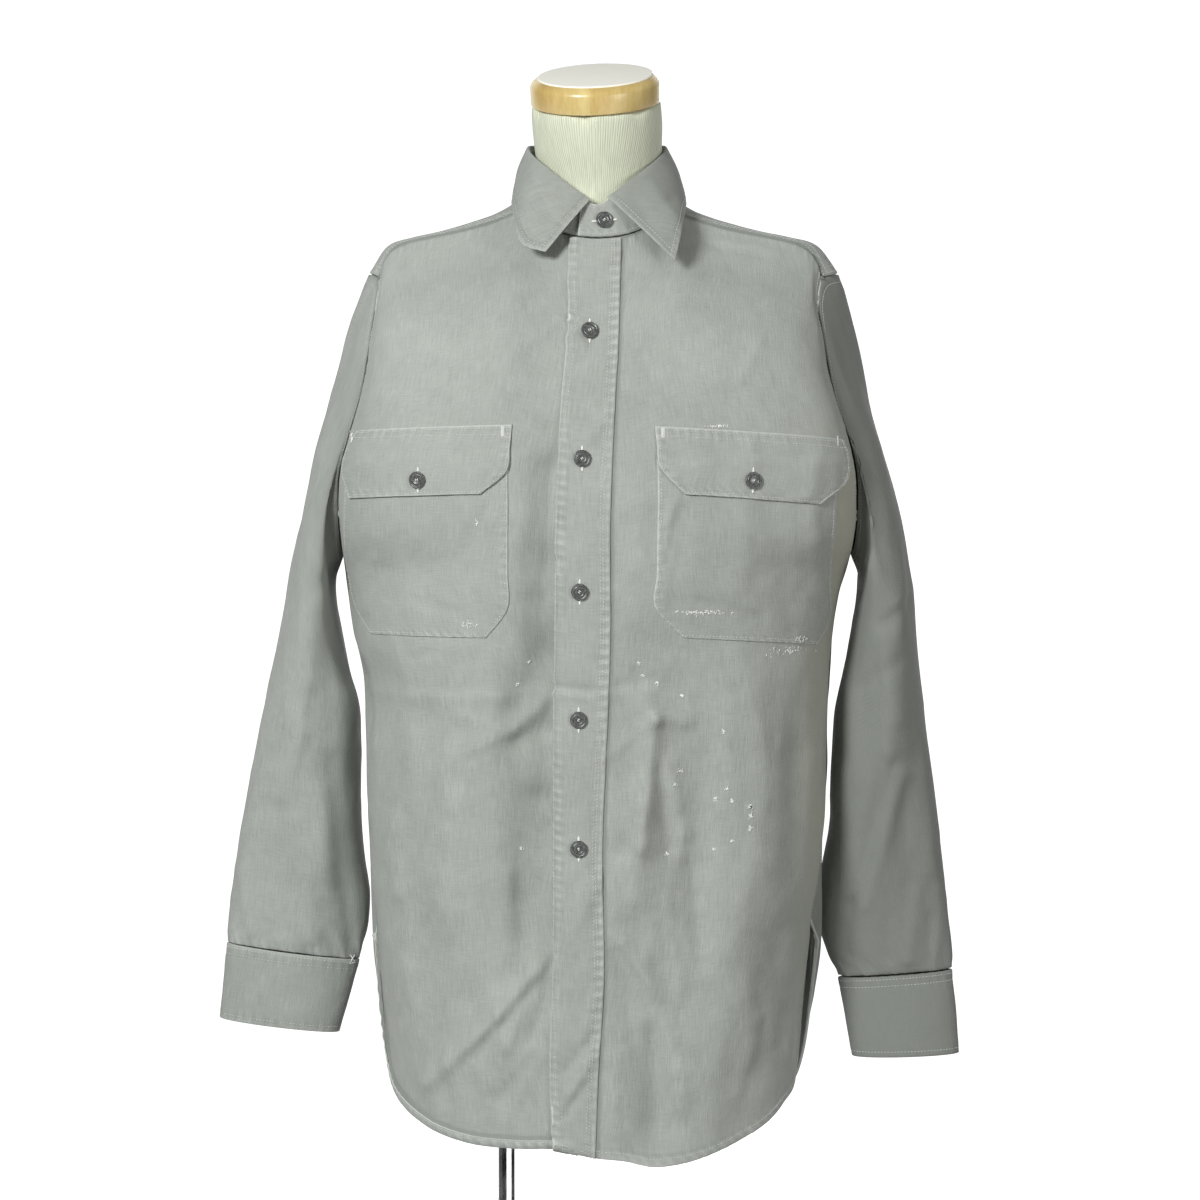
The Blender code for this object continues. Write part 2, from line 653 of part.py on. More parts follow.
def add_turned(name, profile, sides, place, finish):
    """A turned solid: pairs of radius and height, from the top of its axis to the bottom."""
    bm = bmesh.new()
    line = [bm.verts.new((radius, 0, height)) for radius, height in profile]
    edges = [bm.edges.new(pair) for pair in zip(line, line[1:])]
    bmesh.ops.spin(
        bm, geom=line + edges, cent=(0, 0, 0), axis=(0, 0, 1), angle=2 * math.pi, steps=sides, use_merge=True
    )
    bmesh.ops.remove_doubles(bm, verts=bm.verts, dist=1e-6)
    bmesh.ops.recalc_face_normals(bm, faces=bm.faces)
    bmesh.ops.transform(bm, matrix=place, verts=bm.verts)
    mesh = bpy.data.meshes.new(name)
    bm.to_mesh(mesh)
    bm.free()
    return add_object(name, mesh, finish)


def facing(point, normal, roll=0.0):
    """A place whose local Z points along a normal."""
    turn = Vector(normal).to_track_quat("Z", "Y").to_matrix().to_4x4()
    return Matrix.Translation(Vector(point)) @ turn @ Matrix.Rotation(roll, 4, "Z")


# ---------- shirt ----------
def free_edge(z):
    return follow(PLACKET, "z", "free", z)


def sewn_edge(z):
    return follow(PLACKET, "z", "sewn", z)


def placket_column(part):
    """A column that runs down the placket, a part of the way across it."""
    return lambda z: share_at(free_edge(z) + (sewn_edge(z) - free_edge(z)) * part, z)


def make_fronts(cloth):
    """Both fronts and the placket share the columns that run down the placket."""
    lap = [placket_column(part) for part in (0.0, 0.5, 1.0)]
    under = [column(free_edge, -1, part) for part in np.linspace(1, 0, FRONT_COLUMNS)[:-1]]
    over = [column(sewn_edge, 1, part) for part in np.linspace(0, 1, FRONT_COLUMNS + 1)[1:]]
    hidden = lap[:2] + [placket_column(0.88)]
    add_wall("front_under", front_grid(under + hidden, FRONT_ROWS, True), CLOTH, cloth)
    grid = front_grid(lap + over, FRONT_ROWS, False)
    add_wall("front_over", grid, CLOTH, cloth)
    band = grid[:, :3] + normals(grid)[:, :3] * (CLOTH + LAYER_GAP)
    band[0] += (band[1] - band[0]) * PLACKET_START
    add_wall("front_placket", band, CLOTH, cloth)


def on_front(x, z, out):
    """Points on the front panel, moved out along its normal."""
    small = 0.0015
    at = front_surface(share_at(x, z), z)
    right = front_surface(share_at(x + small, z), z) - at
    up = front_surface(share_at(x, z + small), z + small) - at
    normal = np.cross(right, up)
    normal /= np.linalg.norm(normal, axis=-1, keepdims=True)
    return at + normal * np.asarray(out)[..., None] if np.ndim(out) else at + normal * out, normal


def make_back(cloth):
    shares = np.sin(np.linspace(math.pi / 2, -math.pi / 2, BACK_COLUMNS))
    top = BACK_SEAM_Z - SEAM_GAP
    falls = np.linspace(0, 1, BACK_ROWS)
    hem = hem_z("back", shares)
    z = top + (hem[None, :] - top) * falls[:, None]
    add_wall("back", back_surface(np.broadcast_to(shares, z.shape), z), CLOTH, cloth)


def make_yoke(cloth):
    """The yoke stays clear of the neckline, the fronts, the armholes and the back at its four edges."""
    shares = np.concatenate(
        [np.linspace(0.004, 0.24, 8), np.linspace(0.275, 0.725, 12), np.linspace(0.76, 0.996, 8)]
    )
    downs = np.linspace(0.008, 0.991, YOKE_ROWS)
    grid = np.array([[yoke_point(share, down) for share in shares] for down in downs])
    add_wall("yoke", grid, CLOTH, cloth)


def sleeve_ring(side, share, angles):
    rows = SLEEVE_LEFT if side < 0 else SLEEVE_RIGHT
    out_x, out_z, in_x, in_z, middle, depth = (
        follow(rows, "share", name, share) for name in rows.dtype.names[1:]
    )
    wave = np.cos(angles)
    swing = np.sin(angles)
    shape = ease(share, 0, SLEEVE_BLEND)
    power = ARMHOLE_POWER + (SLEEVE_ROUND - ARMHOLE_POWER) * shape
    x = (out_x + in_x) / 2 + (out_x - in_x) / 2 * wave
    z = (out_z + in_z) / 2 + (out_z - in_z) / 2 * wave
    y = middle + side * depth * np.sign(swing) * np.abs(swing) ** power
    ring = points(x, y, z)
    seam = armhole(side, -side * angles) + (side * ARMHOLE_GAP, 0, 0)
    return ring * shape + (seam + ring - ring_at_armhole(side, angles)) * (1 - shape) if share > 0 else seam


def ring_at_armhole(side, angles):
    """The plain oval that the first ring of a sleeve would have without the armhole's own form."""
    rows = SLEEVE_LEFT if side < 0 else SLEEVE_RIGHT
    top = rows[0]
    wave = np.cos(angles)
    swing = np.sin(angles)
    x = (top["out_x"] + top["in_x"]) / 2 + (top["out_x"] - top["in_x"]) / 2 * wave
    z = (top["out_z"] + top["in_z"]) / 2 + (top["out_z"] - top["in_z"]) / 2 * wave
    y = top["middle"] + side * top["depth"] * np.sign(swing) * np.abs(swing) ** ARMHOLE_POWER
    return points(x, y, z)


def make_sleeve(side, cloth):
    angles = np.linspace(0, 2 * math.pi, SLEEVE_SIDES, endpoint=False)
    shares = np.concatenate([[0.0, 0.02], np.linspace(0.06, 1.0, SLEEVE_ROWS)])
    grid = np.array([sleeve_ring(side, share, angles) for share in shares])
    centre = grid.mean(axis=1, keepdims=True)
    away = (grid - centre) / np.linalg.norm(grid - centre, axis=-1, keepdims=True)
    turns = np.degrees(angles) if side < 0 else (360 - np.degrees(angles)) % 360
    height = np.zeros(grid.shape[:2])
    for fold in SLEEVE_FOLDS:
        along = (shares[:, None] - fold["share"]) / fold["long"]
        turn = ((turns[None, :] - fold["turn"] + 180) % 360 - 180) / fold["wide"]
        height += fold["height"] * np.exp(-(along**2) - turn**2)
    grid = grid + away * height[..., None]
    add_wall("sleeve_left" if side < 0 else "sleeve_right", grid, CLOTH, cloth, ring=True)


def make_cuff(side, cloth):
    """A barrel cuff: a strip whose outer end laps over the inner end at the back."""
    rows = CUFFS[CUFFS["side"] == side]
    behind = math.radians(270) if side < 0 else math.radians(90)
    lap = math.radians(CUFF_LAP) / 2
    angles = np.linspace(behind - lap, behind + 2 * math.pi + lap, 30)
    inset = CUFF_LAP_INSET * (1 - ease(angles, behind + lap, behind + lap * 4))
    grid = []
    for down in (0.0, 0.34, 0.67, 1.0):
        out_x, out_z, in_x, in_z, middle, depth = (
            rows[name][0] + (rows[name][1] - rows[name][0]) * down for name in rows.dtype.names[2:]
        )
        half = np.hypot(out_x - in_x, out_z - in_z) / 2
        wave = np.cos(angles) * (half - inset) / half
        swing = np.sin(angles)
        x = (out_x + in_x) / 2 + (out_x - in_x) / 2 * wave
        z = (out_z + in_z) / 2 + (out_z - in_z) / 2 * wave
        y = middle + side * (depth - inset) * np.sign(swing) * np.abs(swing) ** 0.9
        grid.append(points(x, y, z))
    name = "left" if side < 0 else "right"
    grid = np.array(grid)
    add_wall("cuff_" + name, grid, DOUBLE, cloth)
    column = int(np.argmin(np.abs(angles - behind - 2 * math.pi)))
    normal = normals(grid)[1, column]
    return grid[1:3, column].mean(axis=0), normal


def stand_point(turn, down, inset=0.0):
    """The collar stand: down is 0 just under the fold line and 1 at the neckline."""
    top = fold_line(turn, -inset) - (0, 0, STAND_BELOW_FOLD)
    foot = neckline(turn, -inset) + (0, 0, SEAM_GAP)
    return top + (foot - top) * down


def make_collar(cloth):
    """The stand runs from its over end round the back to its under end; the leaf turns down over it."""
    turns = np.radians(np.linspace(STAND_OVER_END, 360 + STAND_UNDER_END, 32))
    lap_start = math.radians(360 + STAND_OVER_END)
    inset = PLACKET_LAP * ease(turns, lap_start - 0.7, lap_start)
    stand = np.array([stand_point(turns, down, inset) for down in (0.0, 0.5, 1.0)])
    add_wall("collar_stand", stand, DOUBLE, cloth)
    first = LEAF_EDGE["turn"][0]
    last = LEAF_EDGE["turn"][-1]
    degrees = np.linspace(first, last, 28)
    edge = points(*(follow(LEAF_EDGE, "turn", axis, degrees) for axis in "xyz"))
    top = fold_line(np.radians(degrees), LEAF_OUT)
    leaf = []
    for down in (0.0, 0.18, 0.45, 0.72, 1.0):
        bow = LEAF_BOW * math.sin(math.pi * down)
        away = fold_line(np.radians(degrees), LEAF_OUT + bow) - top
        leaf.append(top + (edge - top) * down + away)
    add_wall("collar_leaf", np.array(leaf), DOUBLE, cloth)


def rows_between(rows, side, columns):
    """The x and z of a grid of points across the rows of a pocket or flap table."""
    own = rows[rows["side"] == side]
    part = np.linspace(0, 1, columns)[None, :]
    z = own["left_z"][:, None] + (own["right_z"] - own["left_z"])[:, None] * part
    first = np.arcsin(share_at(own["left"], own["left_z"]))[:, None]
    last = np.arcsin(share_at(own["right"], own["right_z"]))[:, None]
    share = np.sin(first + (last - first) * part)
    return side_x(-1, z) + (side_x(1, z) - side_x(-1, z)) * (share + 1) / 2, z


def make_pocket(side, cloth):
    name = "left" if side < 0 else "right"
    x, z = rows_between(POCKET_ROWS, side, POCKET_COLUMNS)
    bag, _ = on_front(x, z, CLOTH + POCKET_GAP)
    add_wall("pocket_" + name, bag, CLOTH, cloth)
    x, z = rows_between(FLAP_ROWS, side, POCKET_COLUMNS)
    out = np.full(x.shape, FLAP_OUT)
    out[0] = DOUBLE + LAYER_GAP
    flap, _ = on_front(x, z, out)
    add_wall("flap_" + name, flap, DOUBLE, cloth)


# ---------- buttons ----------
def add_button(name, point, normal, finish):
    profile = [(row["radius"] * BUTTON_RADIUS, row["height"] * BUTTON_THICK) for row in BUTTON_PROFILE]
    lift = Vector(normal) * LAYER_GAP
    return add_turned(name, profile, BUTTON_SIDES, facing(Vector(point) + lift, normal), finish)


def make_buttons(finish, cuff_places):
    for number, row in enumerate(FRONT_BUTTONS, start=1):
        point, normal = on_front(row["x"], row["z"], CLOTH + LAYER_GAP)
        add_button(f"button_front_{number}", point, normal, finish)
    for side, name in ((-1, "left"), (1, "right")):
        row = FLAP_BUTTONS[FLAP_BUTTONS["side"] == side][0]
        point, normal = on_front(row["x"], row["z"], FLAP_OUT)
        add_button("button_flap_" + name, point, normal, finish)
        add_button("button_cuff_" + name, *cuff_places[side], finish)
    turn = np.array(STAND_BUTTON_TURN)
    top = stand_point(turn, 0.0)
    foot = stand_point(turn, 1.0)
    point = top + (foot - top) * (top[2] - STAND_BUTTON_Z) / (top[2] - foot[2])
    across = stand_point(turn + 0.01, 0.5) - stand_point(turn - 0.01, 0.5)
    normal = np.cross(foot - top, across)
    add_button("button_collar", point, normal / np.linalg.norm(normal), finish)


# ---------- dress form ----------
def make_form(linen, wood, cream, chrome):
    """The torso and neck are one padded body; the cap and its disc lean forwards with the neck."""
    turns = np.linspace(0, 2 * math.pi, 28, endpoint=False)
    wave = np.sin(turns)
    swing = -np.cos(turns)
    power = 2 / FORM_ROUND
    rings = []
    lean = Matrix.Rotation(NECK_TILT, 4, "X") @ Matrix.Rotation(-CAP_ROLL, 4, "Y")
    place = Matrix.Translation(Vector(CAP_FOOT)) @ lean
    for row in NECK[::-1]:
        oval = zip(row["wide"] * wave, row["deep"] * swing)
        rings.append([place @ Vector((x, y, -row["below"])) for x, y in oval])
    for row in FORM[::-1]:
        x = row["wide"] * np.sign(wave) * np.abs(wave) ** power
        reach = np.where(swing < 0, row["ahead"], row["behind"])
        y = row["middle"] + reach * np.sign(swing) * np.abs(swing) ** power
        rings.append([Vector(point) for point in points(x, y, row["z"])])
    add_solid("form", rings, linen)
    cap = [
        (0, CAP_HEIGHT),
        (CAP_RADIUS - 0.0055, CAP_HEIGHT),
        (CAP_RADIUS, CAP_HEIGHT - 0.0070),
        (CAP_RADIUS, 0.0020),
        (CAP_RADIUS - 0.0010, 0.0),
        (0, 0.0),
    ]
    add_turned("neck_cap", cap, 32, place, wood)
    disc = [(0, DISC_THICK), (DISC_RADIUS, DISC_THICK), (DISC_RADIUS, 0), (0, 0)]
    above = Matrix.Translation((0, 0, CAP_HEIGHT + TOUCH_GAP))
    add_turned("cap_disc", disc, 32, place @ above, cream)
    top = FORM_FOOT_Z - TOUCH_GAP
    foot = BASE_THICK + TOUCH_GAP
    pole = [
        (0, top),
        (FLANGE_RADIUS, top),
        (FLANGE_RADIUS, top - FLANGE_THICK),
        (POLE_RADIUS, top - FLANGE_THICK),
        (POLE_RADIUS, foot + FLANGE_THICK),
        (FLANGE_RADIUS, foot + FLANGE_THICK),
        (FLANGE_RADIUS, foot),
        (0, foot),
    ]
    add_turned("pole", pole, 20, Matrix.Translation((POLE_X, 0, 0)), chrome)
    base = [
        (0, BASE_THICK),
        (BASE_RADIUS - BASE_EDGE, BASE_THICK),
        (BASE_RADIUS, BASE_THICK - BASE_EDGE),
        (BASE_RADIUS, 0),
        (0, 0),
    ]
    add_turned("base", base, 40, Matrix.Identity(4), chrome)


def main():
    for old in list(bpy.data.objects):
        bpy.data.objects.remove(old, do_unlink=True)
    cloth = material("twill", (0.43, 0.45, 0.42), 0.9)
    horn = material("button", (0.10, 0.11, 0.10), 0.35)
    linen = material("linen", (0.80, 0.78, 0.73), 0.85)
    wood = material("wood", (0.78, 0.52, 0.23), 0.35)
    cream = material("cap_cloth", (0.86, 0.84, 0.80), 0.8)
    chrome = material("chrome", (0.75, 0.75, 0.76), 0.12, 1.0)
    make_fronts(cloth)
    make_back(cloth)
    make_yoke(cloth)
    make_collar(cloth)
    cuff_places = {}
    for side in (-1, 1):
        make_sleeve(side, cloth)
        cuff_places[side] = make_cuff(side, cloth)
        make_pocket(side, cloth)
    make_buttons(horn, cuff_places)
    make_form(linen, wood, cream, chrome)


main()
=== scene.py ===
import math

import bmesh
import bpy
import numpy as np
from mathutils import Matrix, Vector, noise
from mathutils.bvhtree import BVHTree


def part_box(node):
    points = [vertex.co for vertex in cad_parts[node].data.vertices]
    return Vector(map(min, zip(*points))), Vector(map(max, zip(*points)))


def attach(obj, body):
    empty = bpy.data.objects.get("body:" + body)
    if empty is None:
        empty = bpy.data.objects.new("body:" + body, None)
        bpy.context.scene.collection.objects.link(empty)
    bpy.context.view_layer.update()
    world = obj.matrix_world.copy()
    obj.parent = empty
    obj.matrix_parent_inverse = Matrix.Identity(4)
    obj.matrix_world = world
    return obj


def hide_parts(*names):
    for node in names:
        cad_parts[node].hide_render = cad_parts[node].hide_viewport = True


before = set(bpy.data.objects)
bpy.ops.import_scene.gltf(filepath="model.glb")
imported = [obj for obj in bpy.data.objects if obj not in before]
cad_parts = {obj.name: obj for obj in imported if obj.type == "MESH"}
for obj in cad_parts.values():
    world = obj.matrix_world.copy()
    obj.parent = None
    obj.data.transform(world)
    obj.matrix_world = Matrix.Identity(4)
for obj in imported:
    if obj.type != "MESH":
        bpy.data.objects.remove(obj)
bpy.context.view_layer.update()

# ---------- The photographer's set ----------
# A roll of white paper hangs behind the stand and runs forward under it in one sweep. A large soft box stands
# high on the left, a smaller one low on the right, and the camera is at chest height, three metres away.
EYE = Vector((0.0026, -3.2, 1.19))
AIM = Vector((0.0026, 0.0, 1.08))
SEEN_WIDTH = 1.032  # metres across the picture at the middle of the form
PAPER_REACH = 9.0
PAPER_BEND = 1.0
CARD_AWAY = 1.6  # from the pole to the cards that its chrome reflects
CARD_TALL = 2.6
CARD_MIDDLE = 0.75  # height of a card's middle over the floor


def deselect():
    if bpy.context.object and bpy.context.object.mode != "OBJECT":
        bpy.ops.object.mode_set(mode="OBJECT")
    bpy.ops.object.select_all(action="DESELECT")


def pick(piece, **chosen):
    """In edit mode, selects just the vertices, edges or faces for which a test is true."""
    bpy.ops.mesh.select_all(action="DESELECT")
    mesh = bmesh.from_edit_mesh(piece.data)
    for kind, test in chosen.items():
        for element in getattr(mesh, kind):
            if test(element):
                element.select_set(True)
    mesh.select_flush_mode()
    bmesh.update_edit_mesh(piece.data)


def new_material(name, color, roughness, **values):
    """A material with a plain Principled shader, its node tree and that shader."""
    made = bpy.data.materials.new(name)
    made.use_nodes = True
    made.diffuse_color = (*color, 1)
    shader = made.node_tree.nodes["Principled BSDF"]
    shader.inputs["Base Color"].default_value = (*color, 1)
    shader.inputs["Roughness"].default_value = roughness
    for socket, value in values.items():
        shader.inputs[socket.replace("_", " ")].default_value = value
    return made, made.node_tree, shader


def hang_paper():
    deselect()
    bpy.ops.mesh.primitive_plane_add(size=2 * PAPER_REACH)
    paper = bpy.context.object
    paper.name = "paper_sweep"
    bpy.ops.object.mode_set(mode="EDIT")
    pick(paper, edges=lambda e: all(v.co.y > PAPER_REACH - 0.01 for v in e.verts))
    bpy.ops.mesh.spin(steps=16, angle=math.radians(-90), center=(0, PAPER_REACH, PAPER_BEND), axis=(1, 0, 0))
    bpy.ops.mesh.extrude_region_move(TRANSFORM_OT_translate={"value": (0, 0, PAPER_REACH)})
    bpy.ops.object.mode_set(mode="OBJECT")
    bpy.ops.object.shade_smooth()
    white, _, shader = new_material("white_paper", (0.93, 0.93, 0.92), 0.9)
    shader.inputs["Emission Color"].default_value = (1, 1, 1, 1)
    shader.inputs["Emission Strength"].default_value = 0.92
    paper.data.materials.append(white)
    paper.visible_diffuse = False


def add_light(name, place, aim, size, power, color):
    lamp = bpy.data.lights.new(name, "AREA")
    lamp.shape = "DISK"
    lamp.size = size
    lamp.energy = power
    lamp.color = color
    holder = bpy.data.objects.new(name, lamp)
    holder.visible_camera = False
    bpy.context.scene.collection.objects.link(holder)
    holder.location = place
    holder.rotation_euler = (Vector(aim) - Vector(place)).to_track_quat("-Z", "Y").to_euler()


def stand_card(name, turn, span, tone):
    """A tall card near the stand, for its chrome to reflect: where it stands and how wide it is, in degrees
    round the pole from the front towards the right."""
    wide = 2 * CARD_AWAY * math.tan(math.radians(span / 2))
    deselect()
    bpy.ops.mesh.primitive_plane_add(size=1)
    card = bpy.context.object
    card.name = name
    upright = Matrix.Rotation(math.radians(90), 4, "X") @ Matrix.Diagonal((wide, CARD_TALL, 1, 1))
    place = Matrix.Rotation(math.radians(turn), 4, "Z") @ Matrix.Translation((0, -CARD_AWAY, CARD_MIDDLE))
    card.data.transform(place @ upright)
    paint, _, shader = new_material(name, (tone, tone, tone), 0.9)
    shader.inputs["Specular IOR Level"].default_value = 0.0
    card.data.materials.append(paint)
    card.visible_camera = card.visible_diffuse = card.visible_shadow = False


lens = bpy.data.cameras.new("camera")
lens.sensor_width = 36
lens.lens = 36 * (AIM - EYE).length / SEEN_WIDTH
camera = bpy.data.objects.new("camera", lens)
bpy.context.scene.collection.objects.link(camera)
camera.location = EYE
camera.rotation_euler = (AIM - EYE).to_track_quat("-Z", "Y").to_euler()
bpy.context.scene.camera = camera
bpy.context.scene.view_settings.view_transform = "Standard"

hang_paper()
stand_card("grey_card", -50, 34, 0.16)
stand_card("black_card", -12, 42, 0.008)
stand_card("dark_card", 74, 38, 0.03)
add_light("key_soft_box", (-1.75, -3.0, 2.45), (0, 0, 1.1), 1.0, 124, (0.99, 1.0, 0.995))
add_light("fill_soft_box", (2.4, -2.9, 1.5), (0, 0, 1.0), 1.6, 36, (1.0, 0.99, 0.965))
add_light("back_soft_box", (0.9, 3.4, 2.1), (0, 0, 1.0), 1.8, 46, (1.0, 1.0, 1.0))
sky = bpy.data.worlds.new("studio")
sky.use_nodes = True
sky.node_tree.nodes["Background"].inputs["Color"].default_value = (1, 1, 1, 1)
sky.node_tree.nodes["Background"].inputs["Strength"].default_value = 0.22
bpy.context.scene.world = sky

# ---------- Base and pole ----------
# A heavy steel disc with a rolled edge lies on the floor, and a steel tube stands in a flange screwed to it.
# A second flange holds the torso. All of it is chromed and polished, with faint rubbed haze near the floor.
BASE_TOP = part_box("base")[1].z
BASE_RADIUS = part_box("base")[1].x
POLE_FOOT, POLE_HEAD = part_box("pole")
POLE_X = (POLE_FOOT.x + POLE_HEAD.x) / 2
FLANGE_RADIUS = (POLE_HEAD.x - POLE_FOOT.x) / 2
POLE_RADIUS = 0.0107
FLANGE_THICK = 0.005
FLANGE_HUB = 0.0165
HUB_RISE = 0.0040  # a flange's hub slopes up by this to the tube
HUB_LIP = 0.0004
END_RING = 0.003  # a ring of the tube's wall near either end keeps its shading straight


def turn_round(name, sides, radius, rings, place):
    """A turned piece: a disc, extruded up and scaled ring by ring. A ring is a rise and a new radius."""
    deselect()
    bpy.ops.mesh.primitive_circle_add(vertices=sides, radius=radius, fill_type="NGON", location=place)
    piece = bpy.context.object
    piece.name = name
    bpy.ops.object.transform_apply(location=True, rotation=True, scale=True)
    bpy.ops.object.mode_set(mode="EDIT")
    bpy.ops.mesh.select_all(action="SELECT")
    for rise, wide in rings:
        bpy.ops.mesh.extrude_region_move(TRANSFORM_OT_translate={"value": (0, 0, rise)})
        if abs(wide - radius) > 1e-7:
            share = wide / radius
            centre = (place[0], place[1], 0)
            bpy.ops.transform.resize(value=(share, share, 1), center_override=centre)
        radius = wide
    bpy.ops.mesh.select_all(action="SELECT")
    bpy.ops.mesh.normals_make_consistent(inside=False)
    bpy.ops.object.mode_set(mode="OBJECT")
    return piece


def finish_modifiers(piece):
    """Applies a piece's modifiers in order."""
    deselect()
    piece.select_set(True)
    bpy.context.view_layer.objects.active = piece
    for modifier in list(piece.modifiers):
        bpy.ops.object.modifier_apply(modifier=modifier.name)


def add_node(tree, kind, sources=None, **settings):
    """A shader node with its settings, and its inputs filled from values or from other nodes' sockets."""
    made = tree.nodes.new("ShaderNode" + kind)
    for name, value in settings.items():
        setattr(made, name, value)
    for name, value in (sources or {}).items():
        if isinstance(value, bpy.types.NodeSocket):
            tree.links.new(value, made.inputs[name])
        else:
            made.inputs[name].default_value = value
    return made


def soften(piece, width):
    """Rounds a piece's sharp edges by a bevel, and shades it smooth."""
    bevel = piece.modifiers.new("rounded", "BEVEL")
    bevel.width = width
    bevel.segments = 2
    bevel.limit_method = "ANGLE"
    bevel.angle_limit = math.radians(30)
    finish_modifiers(piece)
    bpy.ops.object.shade_smooth_by_angle(angle=math.radians(40))


chrome, tree, shader = new_material("polished_chrome", (0.78, 0.78, 0.79), 0.08, Metallic=1.0)
where = add_node(tree, "TexCoord").outputs["Object"]
haze = add_node(tree, "TexNoise", {"Vector": where, "Scale": 34.0, "Detail": 5.0, "Roughness": 0.6})
haze_range = {"Value": haze.outputs["Fac"], "From Min": 0.3, "From Max": 0.75, "To Min": 0.05, "To Max": 0.22}
rubbed = add_node(tree, "MapRange", haze_range)
tree.links.new(rubbed.outputs[0], shader.inputs["Roughness"])

base_rings = [(0.0015, BASE_RADIUS), (BASE_TOP - 0.004, BASE_RADIUS), (0.0025, BASE_RADIUS - 0.004)]
base = turn_round("stand_base", 96, BASE_RADIUS - 0.0015, base_rings, (0, 0, 0))
soften(base, 0.0006)
base.data.materials.append(chrome)
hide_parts("base")

SHAFT = POLE_HEAD.z - POLE_FOOT.z - 2 * FLANGE_THICK - 2 * (HUB_LIP + HUB_RISE + END_RING)
pole_rings = [
    (FLANGE_THICK * 0.7, FLANGE_RADIUS),
    (FLANGE_THICK * 0.3, FLANGE_RADIUS - 0.0015),
    (HUB_LIP, FLANGE_HUB),
    (HUB_RISE, FLANGE_HUB - 0.0035),
    (0.0, POLE_RADIUS),
    (END_RING, POLE_RADIUS),
    (SHAFT, POLE_RADIUS),
    (END_RING, POLE_RADIUS),
    (0.0, FLANGE_HUB - 0.0035),
    (HUB_RISE, FLANGE_HUB),
    (HUB_LIP, FLANGE_RADIUS - 0.0015),
    (FLANGE_THICK * 0.3, FLANGE_RADIUS),
    (FLANGE_THICK * 0.7, FLANGE_RADIUS),
]
pole = turn_round("stand_pole", 64, FLANGE_RADIUS, pole_rings, (POLE_X, 0, POLE_FOOT.z))
soften(pole, 0.0004)
pole.data.materials.append(chrome)
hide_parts("pole")
for piece in (base, pole):
    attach(piece, "root")

# ---------- Torso form ----------
# A moulded torso without limbs, covered in cream linen whose fine ribs run up and down. Only its neck shows
# above the collar; the cover is glued on, drawn smooth, and its cut edge is tucked under the neck cap.
RIB_PITCH = 0.0021
THREAD_PITCH = 0.00075
NECK_BACK = -0.02  # y of the upright axis that the linen's ribs go round
NECK_RADIUS = 0.057


def closed_copy(node, name):
    """A copy of a CAD solid whose loose triangles are merged."""
    copy = bmesh.new()
    copy.from_mesh(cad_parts[node].data)
    bmesh.ops.remove_doubles(copy, verts=copy.verts, dist=2e-5)
    mesh = bpy.data.meshes.new(name)
    copy.to_mesh(mesh)
    copy.free()
    piece = bpy.data.objects.new(name, mesh)
    bpy.context.scene.collection.objects.link(piece)
    return piece


def map_around_neck(piece):
    """A UV map in metres: the way round the neck, and the height."""
    layer = piece.data.uv_layers.new(name="cloth")
    co = np.array([v.co for v in piece.data.vertices])
    turn = np.arctan2(co[:, 0], co[:, 1] - NECK_BACK)
    for face in piece.data.polygons:
        turns = turn[list(face.vertices)]
        turns = np.where(turns < turns.max() - math.pi, turns + 2 * math.pi, turns)
        for corner, at in zip(face.loop_indices, turns):
            height = co[piece.data.loops[corner].vertex_index, 2]
            layer.data[corner].uv = (at * NECK_RADIUS, height)


def two_tones(tree, shader, value, dark, light, dark_at=0.0, light_at=1.0):
    """Colours a shader from one tone to another as a value goes from one level to another."""
    tones = add_node(tree, "ValToRGB", {"Fac": value})
    for stop, tone, level in zip(tones.color_ramp.elements, (dark, light), (dark_at, light_at)):
        stop.position = level
        stop.color = (*tone, 1)
    tree.links.new(tones.outputs["Color"], shader.inputs["Base Color"])


def raise_grain(tree, shader, height, strength, distance):
    """Raises a shader's surface by a height."""
    bump = add_node(tree, "Bump", {"Strength": strength, "Distance": distance, "Height": height})
    tree.links.new(bump.outputs["Normal"], shader.inputs["Normal"])


torso = closed_copy("form", "torso_form")
deselect()
torso.select_set(True)
bpy.context.view_layer.objects.active = torso
bpy.ops.object.mode_set(mode="EDIT")
bpy.ops.mesh.select_all(action="SELECT")
bpy.ops.mesh.tris_convert_to_quads(face_threshold=math.radians(60), shape_threshold=math.radians(60))
bpy.ops.object.mode_set(mode="OBJECT")
FORM_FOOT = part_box("form")[0].z
for edge in torso.data.edges:
    ends = [torso.data.vertices[v].co for v in edge.vertices]
    edge.use_edge_sharp = all(abs(end.z - FORM_FOOT) < 0.001 for end in ends)
crease = torso.data.attributes.new("crease_edge", "FLOAT", "EDGE")
crease.data.foreach_set("value", [1.0 if edge.use_edge_sharp else 0.0 for edge in torso.data.edges])
smooth = torso.modifiers.new("smooth", "SUBSURF")
smooth.levels = smooth.render_levels = 2
finish_modifiers(torso)
bpy.ops.object.shade_smooth_by_angle(angle=math.radians(50))
map_around_neck(torso)

linen, tree, shader = new_material("ribbed_linen", (0.78, 0.755, 0.69), 0.9, Sheen_Weight=0.15)
uv = add_node(tree, "UVMap", uv_map="cloth").outputs["UV"]
at = add_node(tree, "SeparateXYZ", {"Vector": uv})


def ripple(tree, source, pitch):
    """A value from -1 to 1 that swings once for each pitch, in metres."""
    turns = add_node(tree, "Math", {0: source, 1: 2 * math.pi / pitch}, operation="MULTIPLY")
    return add_node(tree, "Math", {0: turns.outputs[0]}, operation="SINE").outputs[0]


